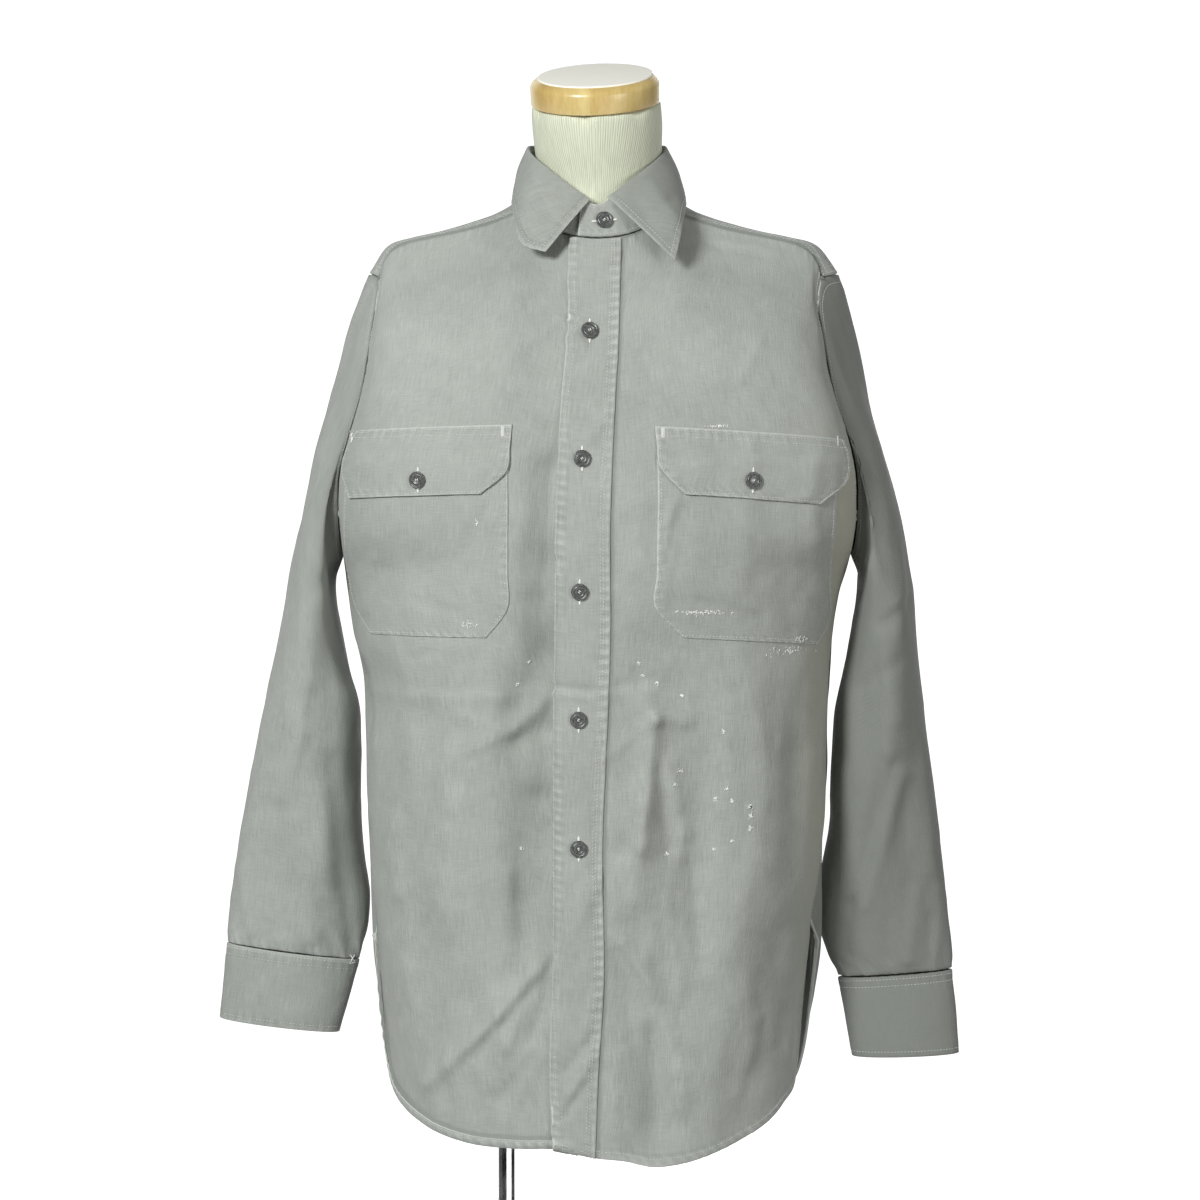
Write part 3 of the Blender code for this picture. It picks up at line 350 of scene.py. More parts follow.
ribs = ripple(tree, at.outputs["X"], RIB_PITCH)
picks = ripple(tree, at.outputs["Y"], THREAD_PITCH)
streaks = add_node(tree, "VectorMath", {0: uv, 1: (900.0, 55.0, 1.0)}, operation="MULTIPLY")
slub = add_node(tree, "TexNoise", {"Vector": streaks.outputs[0], "Scale": 1.0, "Detail": 3.0})
grain = add_node(tree, "Math", {0: ribs, 1: 0.30, 2: slub.outputs["Fac"]}, operation="MULTIPLY_ADD")
grain = add_node(tree, "Math", {0: picks, 1: 0.10, 2: grain.outputs[0]}, operation="MULTIPLY_ADD")
tint = add_node(tree, "MapRange", {"Value": grain.outputs[0], "From Min": 0.1, "From Max": 0.95})
two_tones(tree, shader, tint.outputs[0], (0.50, 0.52, 0.395), (0.80, 0.84, 0.665))
raise_grain(tree, shader, grain.outputs[0], 0.5, 0.0005)
torso.data.materials.append(linen)
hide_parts("form")
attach(torso, "root")

# ---------- Neck cap ----------
# A turned disc of pale pine with a rounded shoulder, clear varnished, its end grain darker than its face.
# A circle of cream cloth is glued on its top, inside the shoulder. Two screws below hold it to the form.
CAP_TILT = Matrix.Rotation(math.radians(17.5), 4, "X") @ Matrix.Rotation(math.radians(-2.6), 4, "Y")
CAP_FOOT = Vector((-0.0005, -0.0300, 1.5035))
CAP_RADIUS = 0.0556
CAP_HEIGHT = 0.0225
DISC_RADIUS = 0.0490
DISC_THICK = 0.0015
CAP_RINGS = [
    (0.0006, CAP_RADIUS - 0.0003),
    (0.0012, CAP_RADIUS),
    (CAP_HEIGHT - 0.0088, CAP_RADIUS),
    (0.0018, CAP_RADIUS - 0.0006),
    (0.0018, CAP_RADIUS - 0.0019),
    (0.0016, CAP_RADIUS - 0.0037),
    (0.0011, CAP_RADIUS - 0.0056),
    (0.0007, CAP_RADIUS - 0.0072),
]
DISC_RINGS = [
    (DISC_THICK * 0.6, DISC_RADIUS),
    (DISC_THICK * 0.3, DISC_RADIUS - 0.0004),
    (DISC_THICK * 0.1, DISC_RADIUS - 0.0014),
]


def tilt_into_place(piece, above=0.0):
    """Leans a piece that was turned upright at the origin forwards with the neck."""
    place = Matrix.Translation(CAP_FOOT) @ CAP_TILT @ Matrix.Translation((0, 0, above))
    piece.data.transform(place)
    piece.data.update()


cap = turn_round("neck_cap_wood", 96, CAP_RADIUS - 0.0012, CAP_RINGS, (0, 0, 0))
bpy.ops.object.shade_smooth_by_angle(angle=math.radians(35))
tilt_into_place(cap)
varnish = {"Coat_Weight": 0.35, "Coat_Roughness": 0.18}
wood, tree, shader = new_material("varnished_pine", (0.76, 0.50, 0.21), 0.32, **varnish)
where = add_node(tree, "TexCoord").outputs["Object"]
stretched = add_node(tree, "Mapping", {"Vector": where, "Scale": (60.0, 26.0, 7.0)})
year_rings = {"Vector": stretched.outputs[0], "Scale": 1.0, "Detail": 4.0, "Distortion": 0.6}
rings = add_node(tree, "TexNoise", year_rings).outputs["Fac"]
fibres = add_node(tree, "Mapping", {"Vector": where, "Scale": (900.0, 420.0, 40.0)})
fibre = add_node(tree, "TexNoise", {"Vector": fibres.outputs[0], "Scale": 1.0, "Detail": 2.0}).outputs["Fac"]
figure = add_node(tree, "Math", {0: fibre, 1: 0.30, 2: rings}, operation="MULTIPLY_ADD")
two_tones(tree, shader, figure.outputs[0], (0.50, 0.33, 0.095), (0.72, 0.57, 0.24), 0.42, 0.84)
raise_grain(tree, shader, fibre, 0.15, 0.0003)
cap.data.materials.append(wood)
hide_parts("neck_cap")
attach(cap, "root")

disc = turn_round("neck_cap_cloth", 96, DISC_RADIUS, DISC_RINGS, (0, 0, 0))
bpy.ops.object.shade_smooth_by_angle(angle=math.radians(50))
tilt_into_place(disc, CAP_HEIGHT - 0.0005)
cover, tree, shader = new_material("cap_cover_cloth", (0.83, 0.80, 0.74), 0.85)
where = add_node(tree, "TexCoord").outputs["Object"]
felt = add_node(tree, "TexNoise", {"Vector": where, "Scale": 900.0, "Detail": 2.0}).outputs["Fac"]
two_tones(tree, shader, felt, (0.88, 0.87, 0.78), (0.99, 0.98, 0.90))
raise_grain(tree, shader, felt, 0.4, 0.0003)
disc.data.materials.append(cover)
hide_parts("cap_disc")
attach(disc, "root")

# ---------- Back ----------
# One panel of sage grey cotton twill, washed soft and faded, cut on the straight grain and felled into the
# yoke. It hangs from the shoulder blades in long soft folds and ends in a rounded tail longer than the front.
CLOTH = 0.0011
WALL = 0.0012  # thickness of the CAD's single layers
TURNED = [(0.0004, 0.0004), (0.0006, 0.0030)]  # a sewn edge bends in and goes down into the seam
HEMMED = [(0.0006, 0.0006), (0.0006, 0.0021), (-0.0066, 0.0027)]  # and a hem goes up again inside
UNDER_YOKE = [(0.0008, 0.0012), (0.0050, 0.0022), (0.0110, 0.0026), (0.0114, 0.0036)]  # the back's top edge
COARSE = 0.0036  # distance between the points of a large panel
BODY_MIDDLE = Vector((0, 0, 1.15))
WALE_PITCH = 0.00115
SAGE = (0.346, 0.363, 0.336)
# Pale tone for worn edges, also used for painted highlights; the deep tone below serves darker threads and
# painted shade.
SAGE_WORN_AND_LIT = (0.62, 0.65, 0.61)
SAGE_DEEP = (0.235, 0.250, 0.228)
SAGE_WARM = (0.43, 0.425, 0.335)


def outer_skin(node, middle, wall):
    """The outer face of a cloth wall: its points, and the third corner of each directed edge's triangle."""
    skin = bmesh.new()
    skin.from_mesh(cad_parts[node].data)
    bmesh.ops.remove_doubles(skin, verts=skin.verts, dist=2e-5)
    area = sum(face.calc_area() for face in skin.faces)
    if middle is None:
        middle = sum((face.calc_center_median() * face.calc_area() for face in skin.faces), Vector()) / area
    through = [edge for edge in skin.edges if abs(edge.calc_length() - wall) < 4e-6]
    seen = {face for edge in through for face in edge.link_faces}
    parts = []
    for start in skin.faces:
        if start not in seen:
            seen.add(start)
            parts.append([start])
            for face in parts[-1]:
                for edge in face.edges:
                    for other in edge.link_faces:
                        if other not in seen:
                            seen.add(other)
                            parts[-1].append(other)
    outer = max(parts, key=lambda part: sum(f.normal.dot(f.calc_center_median() - middle) for f in part))
    third = {}
    for face in outer:
        a, b, c = (vert.index for vert in face.verts)
        third.update({(a, b): c, (b, c): a, (c, a): b})
    points = np.array([vert.co for vert in skin.verts])
    skin.free()
    return points, third


def row_below(third, row, first, closed):
    """The row of corners below a row, from its first corner on, or None where the triangles don't fit."""
    below = [first]
    for a, b in zip(row, row[1:] + row[:1] if closed else row[1:]):
        corner = third.get((b, a))
        if corner == below[-1]:
            corner = third.get((b, corner))
        elif third.get((corner, a)) != below[-1]:
            return None
        if corner is None:
            return None
        below.append(corner)
    if not closed:
        return below
    return below[:-1] if below[-1] == below[0] else None


def panel_rows(third, loop, height):
    """The rows of an open panel, from its highest edge down; the loop is its edge."""
    half = len(loop) // 2
    spread = math.isqrt(half * half - 2 * len(third) // 3)
    found = []
    for across in {(half + spread) // 2, (half - spread) // 2}:
        down = half - across
        for k in range(len(loop)):
            rows = [[loop[k - j] for j in range(across + 1)]]
            while rows and len(rows) <= down:
                start = loop[(k + len(rows)) % len(loop)]
                end = loop[(k - across - len(rows)) % len(loop)]
                below = row_below(third, rows[-1], start, False)
                rows = rows + [below] if below and below[-1] == end else []
            if rows:
                found.append(rows)
    return max(found, key=lambda rows: np.mean([height[corner] for corner in rows[0]]))


def tube_rows(third, loops, points):
    """The rows of a tube, from its higher end down."""
    top, foot = sorted(loops, key=lambda loop: -points[loop, 2].mean())
    rows = [top[::-1]]
    while set(rows[-1]) != set(foot):
        row = rows[-1]
        corner = third[row[1], row[0]]
        tried = [row_below(third, row, first, True) for first in (corner, third.get((corner, row[0])))]
        fits = [below for below in tried if below]
        rows.append(min(fits, key=lambda below: np.linalg.norm(points[below] - points[row], axis=1).sum()))
    return rows


def cut_from(node, middle=None, wall=WALL):
    """The points of a CAD wall's outer face in rows, from the top down and left to right from outside."""
    points, third = outer_skin(node, middle, wall)
    onward = {a: b for a, b in third if (b, a) not in third}
    loops = []
    while onward:
        loop = [next(iter(onward))]
        while loop[-1] in onward:
            loop.append(onward.pop(loop[-1]))
        loops.append(loop[:-1])
    if len(loops) == 2:
        return points[tube_rows(third, loops, points)]
    return points[panel_rows(third, loops[0], points[:, 2])]


def curve_through(points, step, closed=False):
    """Points about a step apart on the smooth curves that run down a grid's columns."""
    wrap = 3 if closed else 0
    if closed:
        points = np.concatenate([points[-wrap:], points, points[: wrap + 1]])
    apart = np.linalg.norm(np.diff(points, axis=0), axis=-1).mean(axis=1)
    knots = np.concatenate([[0], np.cumsum(apart)])
    slopes = np.gradient(points, knots, axis=0)
    start, end = knots[wrap], knots[-1 - wrap]
    at = np.linspace(start, end, max(2, round((end - start) / step) + 1))
    i = np.clip(np.searchsorted(knots, at, side="right") - 1, 0, len(knots) - 2)
    span = (knots[i + 1] - knots[i])[:, None, None]
    t = (at - knots[i])[:, None, None] / span
    before = (2 * t**3 - 3 * t**2 + 1) * points[i] + (t**3 - 2 * t**2 + t) * span * slopes[i]
    after = (3 * t**2 - 2 * t**3) * points[i + 1] + (t**3 - t**2) * span * slopes[i + 1]
    return before + after


def fine_grid(points, step, closed=False):
    """A grid of points about a step apart; a tube's last column repeats its first."""
    down = curve_through(points, step)
    return curve_through(down.swapaxes(0, 1), step, closed).swapaxes(0, 1)


def grow(grid, edge, steps, closed=False):
    """A grid with rows added at an edge. A step is how far a row lies beyond the edge and how far inwards."""
    turned = edge_first(grid, edge)
    inward = -edge_first(outwards(grid, closed), edge)[0]
    away = turned[0] - turned[1]
    away = away / np.maximum(np.linalg.norm(away, axis=-1, keepdims=True), 1e-9)
    added = [turned[0] + away * beyond + inward * deep for beyond, deep in reversed(steps)]
    return edge_back(np.concatenate([np.array(added), turned]), edge)


def edge_first(values, edge):
    """Turns a grid so that the named edge is its first row; edge_back turns it the way it was."""
    if edge in ("left", "right"):
        values = values.swapaxes(0, 1)
    return values[::-1] if edge in ("foot", "right") else values


def edge_back(values, edge):
    if edge in ("foot", "right"):
        values = values[::-1]
    return values.swapaxes(0, 1) if edge in ("left", "right") else values


def outwards(grid, closed=False):
    """The unit normals of a grid's outer face."""
    if closed:
        wide = np.concatenate([grid[:, -2:-1], grid, grid[:, 1:2]], axis=1)
        across = np.gradient(wide, axis=1)[:, 1:-1]
    else:
        across = np.gradient(grid, axis=1)
    cross = np.cross(np.gradient(grid, axis=0), across)
    return cross / np.maximum(np.linalg.norm(cross, axis=-1, keepdims=True), 1e-12)


def lengths(grid):
    """How far each point is along its row from the left edge, and down its column from the top edge."""
    across = np.zeros(grid.shape[:2])
    down = np.zeros(grid.shape[:2])
    across[:, 1:] = np.cumsum(np.linalg.norm(np.diff(grid, axis=1), axis=-1), axis=1)
    down[1:] = np.cumsum(np.linalg.norm(np.diff(grid, axis=0), axis=-1), axis=0)
    return across, down


def gaps(grid):
    """How far each point is from the left, the right, the top and the foot edge along the cloth."""
    across, down = lengths(grid)
    return across, across[:, -1:] - across, down, down[-1:] - down


def raise_by(grid, height):
    """A grid with each point raised outwards by its height."""
    return grid + outwards(grid) * height[..., None]


def step_up(value, start, end):
    """0 up to start, 1 from end on, and a soft step between them."""
    t = np.clip((value - start) / (end - start), 0, 1)
    return t * t * (3 - 2 * t)


def press(grid, strokes):
    """The height of soft folds drawn as they are seen from the front. A row is x and z of both ends, the
    height, and how wide it falls away on either side; a negative height is a trough."""
    x, z = grid[..., 0], grid[..., 2]
    total = np.zeros_like(x)
    for x0, z0, x1, z1, height, left, right in strokes:
        run_x = x1 - x0
        run_z = z1 - z0
        long = math.hypot(run_x, run_z)
        along = ((x - x0) * run_x + (z - z0) * run_z) / long**2
        aside = ((x - x0) * run_z - (z - z0) * run_x) / long
        over = np.maximum(np.maximum(-along, along - 1), 0) * long
        width = np.where(aside < 0, left, right)
        fade = np.exp(-((over / (left + right)) ** 2) * 4)
        total += height * fade * np.exp(-((aside / width) ** 2))
    return total


def drape_noise(grid, size, seed):
    """A smooth unevenness from -1 to 1 with bumps of about a size, the same on each run."""
    rows, columns = grid.shape[:2]
    coarse = grid[::3, ::3].reshape(-1, 3) / size
    shift = Vector((seed * 7.3, seed * 3.1, seed * 5.7))
    values = np.array([noise.noise(Vector(point) + shift) for point in coarse])
    values = values.reshape(len(range(0, rows, 3)), -1)
    at_row = np.arange(rows) / 3
    at_column = np.arange(columns) / 3
    tall = np.array([np.interp(at_row, np.arange(values.shape[0]), column) for column in values.T])
    return np.array([np.interp(at_column, np.arange(values.shape[1]), row) for row in tall.T])


def uneven(grid, seed, *swells):
    """Soft unevenness in metres. A swell is its height and how wide its bumps are."""
    return sum(height * drape_noise(grid, wide, seed + k) for k, (height, wide) in enumerate(swells))


def crumple(grid, wide, tall, seed):
    """Uneven soft ridges from -1 to 1 with narrow crests, about so wide and so tall."""
    size = np.array([wide, wide * 1.6, tall])
    first = drape_noise(grid / size, 1.0, seed)
    second = drape_noise(grid / size, 0.45, seed + 0.5)
    return 1 - 2.6 * np.sqrt(first**2 + 0.004) + 0.35 * second


def make_washed_twill():
    """The look of the cloth as a node group, from its weave's coordinates to its colour and height."""
    group = bpy.data.node_groups.new("washed_twill", "ShaderNodeTree")
    for kind, names in (
        ("Vector", ("Weave", "Place")),
        ("Float", ("Wear and painted light",)),
        ("Color", ("Color", "Worn and lit", "Deep", "Warm")),
        ("Float", ("Rim light warmth",)),
    ):
        for name in names:
            group.interface.new_socket(name, in_out="INPUT", socket_type="NodeSocket" + kind)
    group.interface.new_socket("Color", in_out="OUTPUT", socket_type="NodeSocketColor")
    group.interface.new_socket("Height", in_out="OUTPUT", socket_type="NodeSocketFloat")
    given = group.nodes.new("NodeGroupInput").outputs
    result = group.nodes.new("NodeGroupOutput").inputs

    def fog(vector, scale, detail):
        made = add_node(group, "TexNoise", {"Vector": vector, "Scale": scale, "Detail": detail})
        return made.outputs["Fac"]

    def streak(across, down, detail):
        sources = {0: given["Weave"], 1: (across, down, 1.0)}
        scaled = add_node(group, "VectorMath", sources, operation="MULTIPLY")
        return fog(scaled.outputs[0], 1.0, detail)

    def blend(share, first, second):
        mixed = add_node(group, "Mix", {"Factor": share, 6: first, 7: second}, data_type="RGBA")
        return mixed.outputs[2]

    def spread(value, low, high, start, end):
        ranged = {"Value": value, "From Min": low, "From Max": high, "To Min": start, "To Max": end}
        return add_node(group, "MapRange", ranged).outputs[0]

    def add(first, second, share=1.0):
        return add_node(group, "Math", {0: second, 1: share, 2: first}, operation="MULTIPLY_ADD").outputs[0]

    warp = streak(1000.0, 55.0, 3.0)
    weft = streak(75.0, 1200.0, 2.0)
    lint = streak(1500.0, 1500.0, 1.0)
    at = add_node(group, "SeparateXYZ", {"Vector": given["Weave"]})
    ridge = ripple(group, add(at.outputs["Y"], at.outputs["X"], 0.62), WALE_PITCH)
    clouds = fog(given["Place"], 9.0, 4.0)
    patches = fog(given["Place"], 60.0, 3.0)
    tone = 0.0
    for layer, share in ((warp, 0.72), (weft, 0.52), (clouds, 0.46), (patches, 0.25), (lint, 0.50)):
        tone = add(tone, layer, share)
    tone = spread(tone, 0.90, 1.56, 0.0, 1.0)
    darker = blend(0.50, given["Color"], given["Deep"])
    lighter = blend(0.36, given["Color"], given["Worn and lit"])
    cloth = blend(tone, darker, lighter)
    # Painted light: the warm tone is blended in where the painted rim light lies.
    cloth = blend(given["Rim light warmth"], cloth, given["Warm"])
    # Wear value: above zero it lightens worn edges and also paints highlights on pucker and fold crests;
    # below zero it paints shade in troughs, stitch grooves and shadow lines beside overlapping edges.
    ragged = add(add(given["Wear and painted light"], warp, 0.35), patches, 0.25)
    cloth = blend(spread(ragged, 0.38, 1.15, 0.0, 0.85), cloth, given["Worn and lit"])
    cloth = blend(spread(ragged, 0.22, -0.55, 0.0, 0.75), cloth, given["Deep"])
    group.links.new(cloth, result["Color"])
    height = add(add(add(0.0, warp, 0.9), weft, 0.5), ridge, 0.16)
    group.links.new(height, result["Height"])
    return group


washed_twill = make_washed_twill()


def dye(name, color, worn, rub_shift=0.0):
    """A twill material: the washed twill group on the piece's own weave, with its wear and its painted light
    and shade.
    """
    made, tree, shader = new_material(name, color, 0.92, Sheen_Weight=0.12, Sheen_Roughness=0.5)
    shader.inputs["Specular IOR Level"].default_value = 0.25
    group = tree.nodes.new("ShaderNodeGroup")
    group.node_tree = washed_twill
    weave = add_node(tree, "UVMap", uv_map="cloth").outputs["UV"]
    tree.links.new(weave, group.inputs["Weave"])
    tree.links.new(add_node(tree, "TexCoord").outputs["Object"], group.inputs["Place"])
    wear_and_painted_light = add_node(tree, "Attribute", attribute_name="wear_and_painted_light", attribute_type="GEOMETRY").outputs["Fac"]
    shifted = add_node(tree, "Math", {0: wear_and_painted_light, 1: rub_shift}, operation="ADD").outputs[0]
    tree.links.new(shifted, group.inputs["Wear and painted light"])
    rim_light_warmth = add_node(tree, "Attribute", attribute_name="rim_light_warmth", attribute_type="GEOMETRY").outputs["Fac"]
    tree.links.new(rim_light_warmth, group.inputs["Rim light warmth"])
    for socket, value in (("Color", color), ("Worn and lit", worn), ("Deep", SAGE_DEEP), ("Warm", SAGE_WARM)):
        group.inputs[socket].default_value = (*value, 1)
    tree.links.new(group.outputs["Color"], shader.inputs["Base Color"])
    raise_grain(tree, shader, group.outputs["Height"], 0.9, 0.00045)
    return made


twill = dye("sage_twill", SAGE, SAGE_WORN_AND_LIT)
worn_edge = dye("sage_twill_worn_edge", SAGE, SAGE_WORN_AND_LIT, 0.38)


def cut_sheet(name, node, grid, wall=CLOTH, closed=False, wear_and_painted_light=None, rim_light_warmth=None, cloth=twill, **edges):
    """A sheet of twill through a grid of points: its weave in metres, its wear with painted light and shade,
    and its thickness inwards.
    The named edges are turned in by their steps."""
    wear_and_light = {
        "wear_and_painted_light": np.zeros(grid.shape[:2]) if wear_and_painted_light is None else wear_and_painted_light,
        "rim_light_warmth": np.zeros(grid.shape[:2]) if rim_light_warmth is None else rim_light_warmth,
    }
    for edge, steps in edges.items():
        grid = grow(grid, edge, steps, closed)
        for label, values in wear_and_light.items():
            values = edge_first(values, edge)
            values = np.concatenate([values[:1]] * len(steps) + [values])
            wear_and_light[label] = edge_back(values, edge)
    rows, columns = grid.shape[:2]
    kept = columns - 1 if closed else columns
    corner = np.arange(rows * kept).reshape(rows, kept)
    if closed:
        corner = np.concatenate([corner, corner[:, :1]], axis=1)
    square = [(0, 0), (1, 0), (1, 1), (0, 1)]
    faces = np.stack([corner[r : rows - 1 + r, c : columns - 1 + c] for r, c in square], axis=-1)
    faces = faces.reshape(-1, 4)
    mesh = bpy.data.meshes.new(name)
    mesh.from_pydata(grid[:, :kept].reshape(-1, 3).tolist(), [], faces.tolist())
    across, down = lengths(grid)
    across = across - across[:, columns // 2 : columns // 2 + 1]
    down = np.broadcast_to(-down[:, columns // 2 : columns // 2 + 1], down.shape)
    uv = np.stack([across, down], axis=-1)
    corners = np.stack([uv[r : rows - 1 + r, c : columns - 1 + c] for r, c in square], axis=2)
    mesh.uv_layers.new(name="cloth").data.foreach_set("uv", corners.ravel())
    for label, values in wear_and_light.items():
        mesh.attributes.new(label, "FLOAT", "POINT").data.foreach_set("value", values[:, :kept].ravel())
    piece = bpy.data.objects.new(name, mesh)
    bpy.context.scene.collection.objects.link(piece)
    mesh.materials.append(cloth)
    mesh.materials.append(worn_edge)
    layer = piece.modifiers.new("wall", "SOLIDIFY")
    layer.thickness = wall
    layer.offset = -1
    layer.material_offset_rim = 1
    finish_modifiers(piece)
    bpy.ops.object.shade_smooth_by_angle(angle=math.radians(60))
    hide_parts(node)
    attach(piece, "root")
    return piece


def beside(gap, reach):
    """1 at an edge or a line, falling to 0 at a few times this distance from it."""
    return np.exp(-((gap / reach) ** 2))


def edge_fade(grid, left, right, top, foot):
    """1 over a panel, falling to 0 within these distances of its four edges; 0 leaves an edge as it is."""
    fade = np.ones(grid.shape[:2])
    for reach, gap in zip((left, right, top, foot), gaps(grid)):
        if reach:
            fade = fade * step_up(gap, 0, reach)
    return fade


BACK_CREASES = [  # seen from the front: x and z of both ends, height, and width to either side
    (-0.105, 1.265, -0.112, 1.06, 0.003, 0.01, 0.02),
    (-0.088, 1.24, -0.092, 1.02, -0.0022, 0.012, 0.008),
    (-0.06, 1.18, -0.066, 0.88, 0.0018, 0.012, 0.018),
    (-0.032, 1.09, -0.037, 0.76, -0.0022, 0.016, 0.01),
    (0.012, 1.24, 0.018, 1.01, 0.0018, 0.01, 0.014),
    (0.052, 1.13, 0.058, 0.83, -0.002, 0.012, 0.017),
    (0.09, 1.25, 0.1, 1.04, 0.0028, 0.019, 0.01),
    (0.072, 1.22, 0.078, 1.03, -0.0018, 0.008, 0.012),
    (0.12, 0.94, 0.11, 0.74, -0.0022, 0.014, 0.01),
    (-0.12, 0.96, -0.108, 0.74, 0.0022, 0.012, 0.018),
    (0.03, 0.8, 0.036, 0.64, 0.002, 0.016, 0.01),
    (-0.07, 0.82, -0.066, 0.65, -0.0018, 0.012, 0.012),
    (-0.15, 1.12, -0.06, 1.085, -0.0012, 0.006, 0.009),
    (0.155, 1.105, 0.08, 1.072, -0.0012, 0.006, 0.009),
    (-0.15, 1.0, -0.09, 0.972, 0.0011, 0.007, 0.006),
    (0.06, 0.935, 0.14, 0.965, 0.0011, 0.006, 0.008),
]
back_grid = fine_grid(cut_from("back", BODY_MIDDLE), COARSE)
held = edge_fade(back_grid, 0.020, 0.020, 0.015, 0)
loose = press(back_grid, BACK_CREASES) + uneven(back_grid, 1, (0.0011, 0.050), (0.0004, 0.016))
loose += 0.0016 * crumple(back_grid, 0.040, 0.170, 3)
back_grid = raise_by(back_grid, loose * held)
across, to_right, down, to_hem = gaps(back_grid)
to_seam = np.minimum(across, to_right)
wear_and_painted_light = 0.7 * beside(to_seam, 0.0020) + 0.6 * beside(down, 0.002) + 0.8 * beside(to_hem, 0.0022)
turned_in = {"top": UNDER_YOKE, "left": TURNED, "right": TURNED, "foot": HEMMED}
back = cut_sheet("back_panel", "back", back_grid, wear_and_painted_light=wear_and_painted_light, **turned_in)

# ---------- Yoke ----------
# A saddle of two layers of twill over both shoulders, from the neckline down to the shoulder blades. Its
# edges are turned under and stitched flat on the back and the fronts, and the wash has puckered the seams.


def pucker(along, pitch, seed):
    """Uneven gathers along a seam, from -1 to 1, where the thread has shrunk more than the cloth."""
    drift = np.sin(along / 0.031 + seed) * 0.9 + np.sin(along / 0.0127 + 2.1 * seed) * 0.7
    swell = 0.65 + 0.35 * np.sin(along / 0.043 + 3.7 * seed)
    return np.sin(2 * math.pi * along / pitch + drift) * swell


def gather(height, along, pitch, seed, gap, reach):
    """The height of the puckers beside a seam that lies where the gap is 0."""
    return height * pucker(along, pitch, seed) * beside(gap, reach)


yoke_grid = fine_grid(cut_from("yoke", BODY_MIDDLE), COARSE)
across, to_right, down, to_outer = gaps(yoke_grid)
to_front = np.minimum(across, to_right)
held = edge_fade(yoke_grid, 0.008, 0.008, 0.008, 0.008)
loose = uneven(yoke_grid, 3, (0.0008, 0.040), (0.0003, 0.014))
gathers = gather(0.00030, across, 0.0092, 1, to_outer - 0.005, 0.0055)
gathers += gather(0.00030, down, 0.0085, 2, to_front - 0.005, 0.0055)
yoke_grid = raise_by(yoke_grid, loose * held + gathers)
# Worn pale along the edges; pucker crests painted lighter and troughs darker; painted shade along the front
# edges where the yoke turns under.
wear_and_painted_light = 0.4 * beside(to_outer - 0.001, 0.0018) + 0.3 * beside(to_front - 0.0030, 0.0018) + 800 * gathers
wear_and_painted_light -= 1.5 * beside(to_front, 0.0012)
yoke = cut_sheet("yoke_panel", "yoke", yoke_grid, wear_and_painted_light=wear_and_painted_light, foot=TURNED, left=TURNED, right=TURNED, top=TURNED)

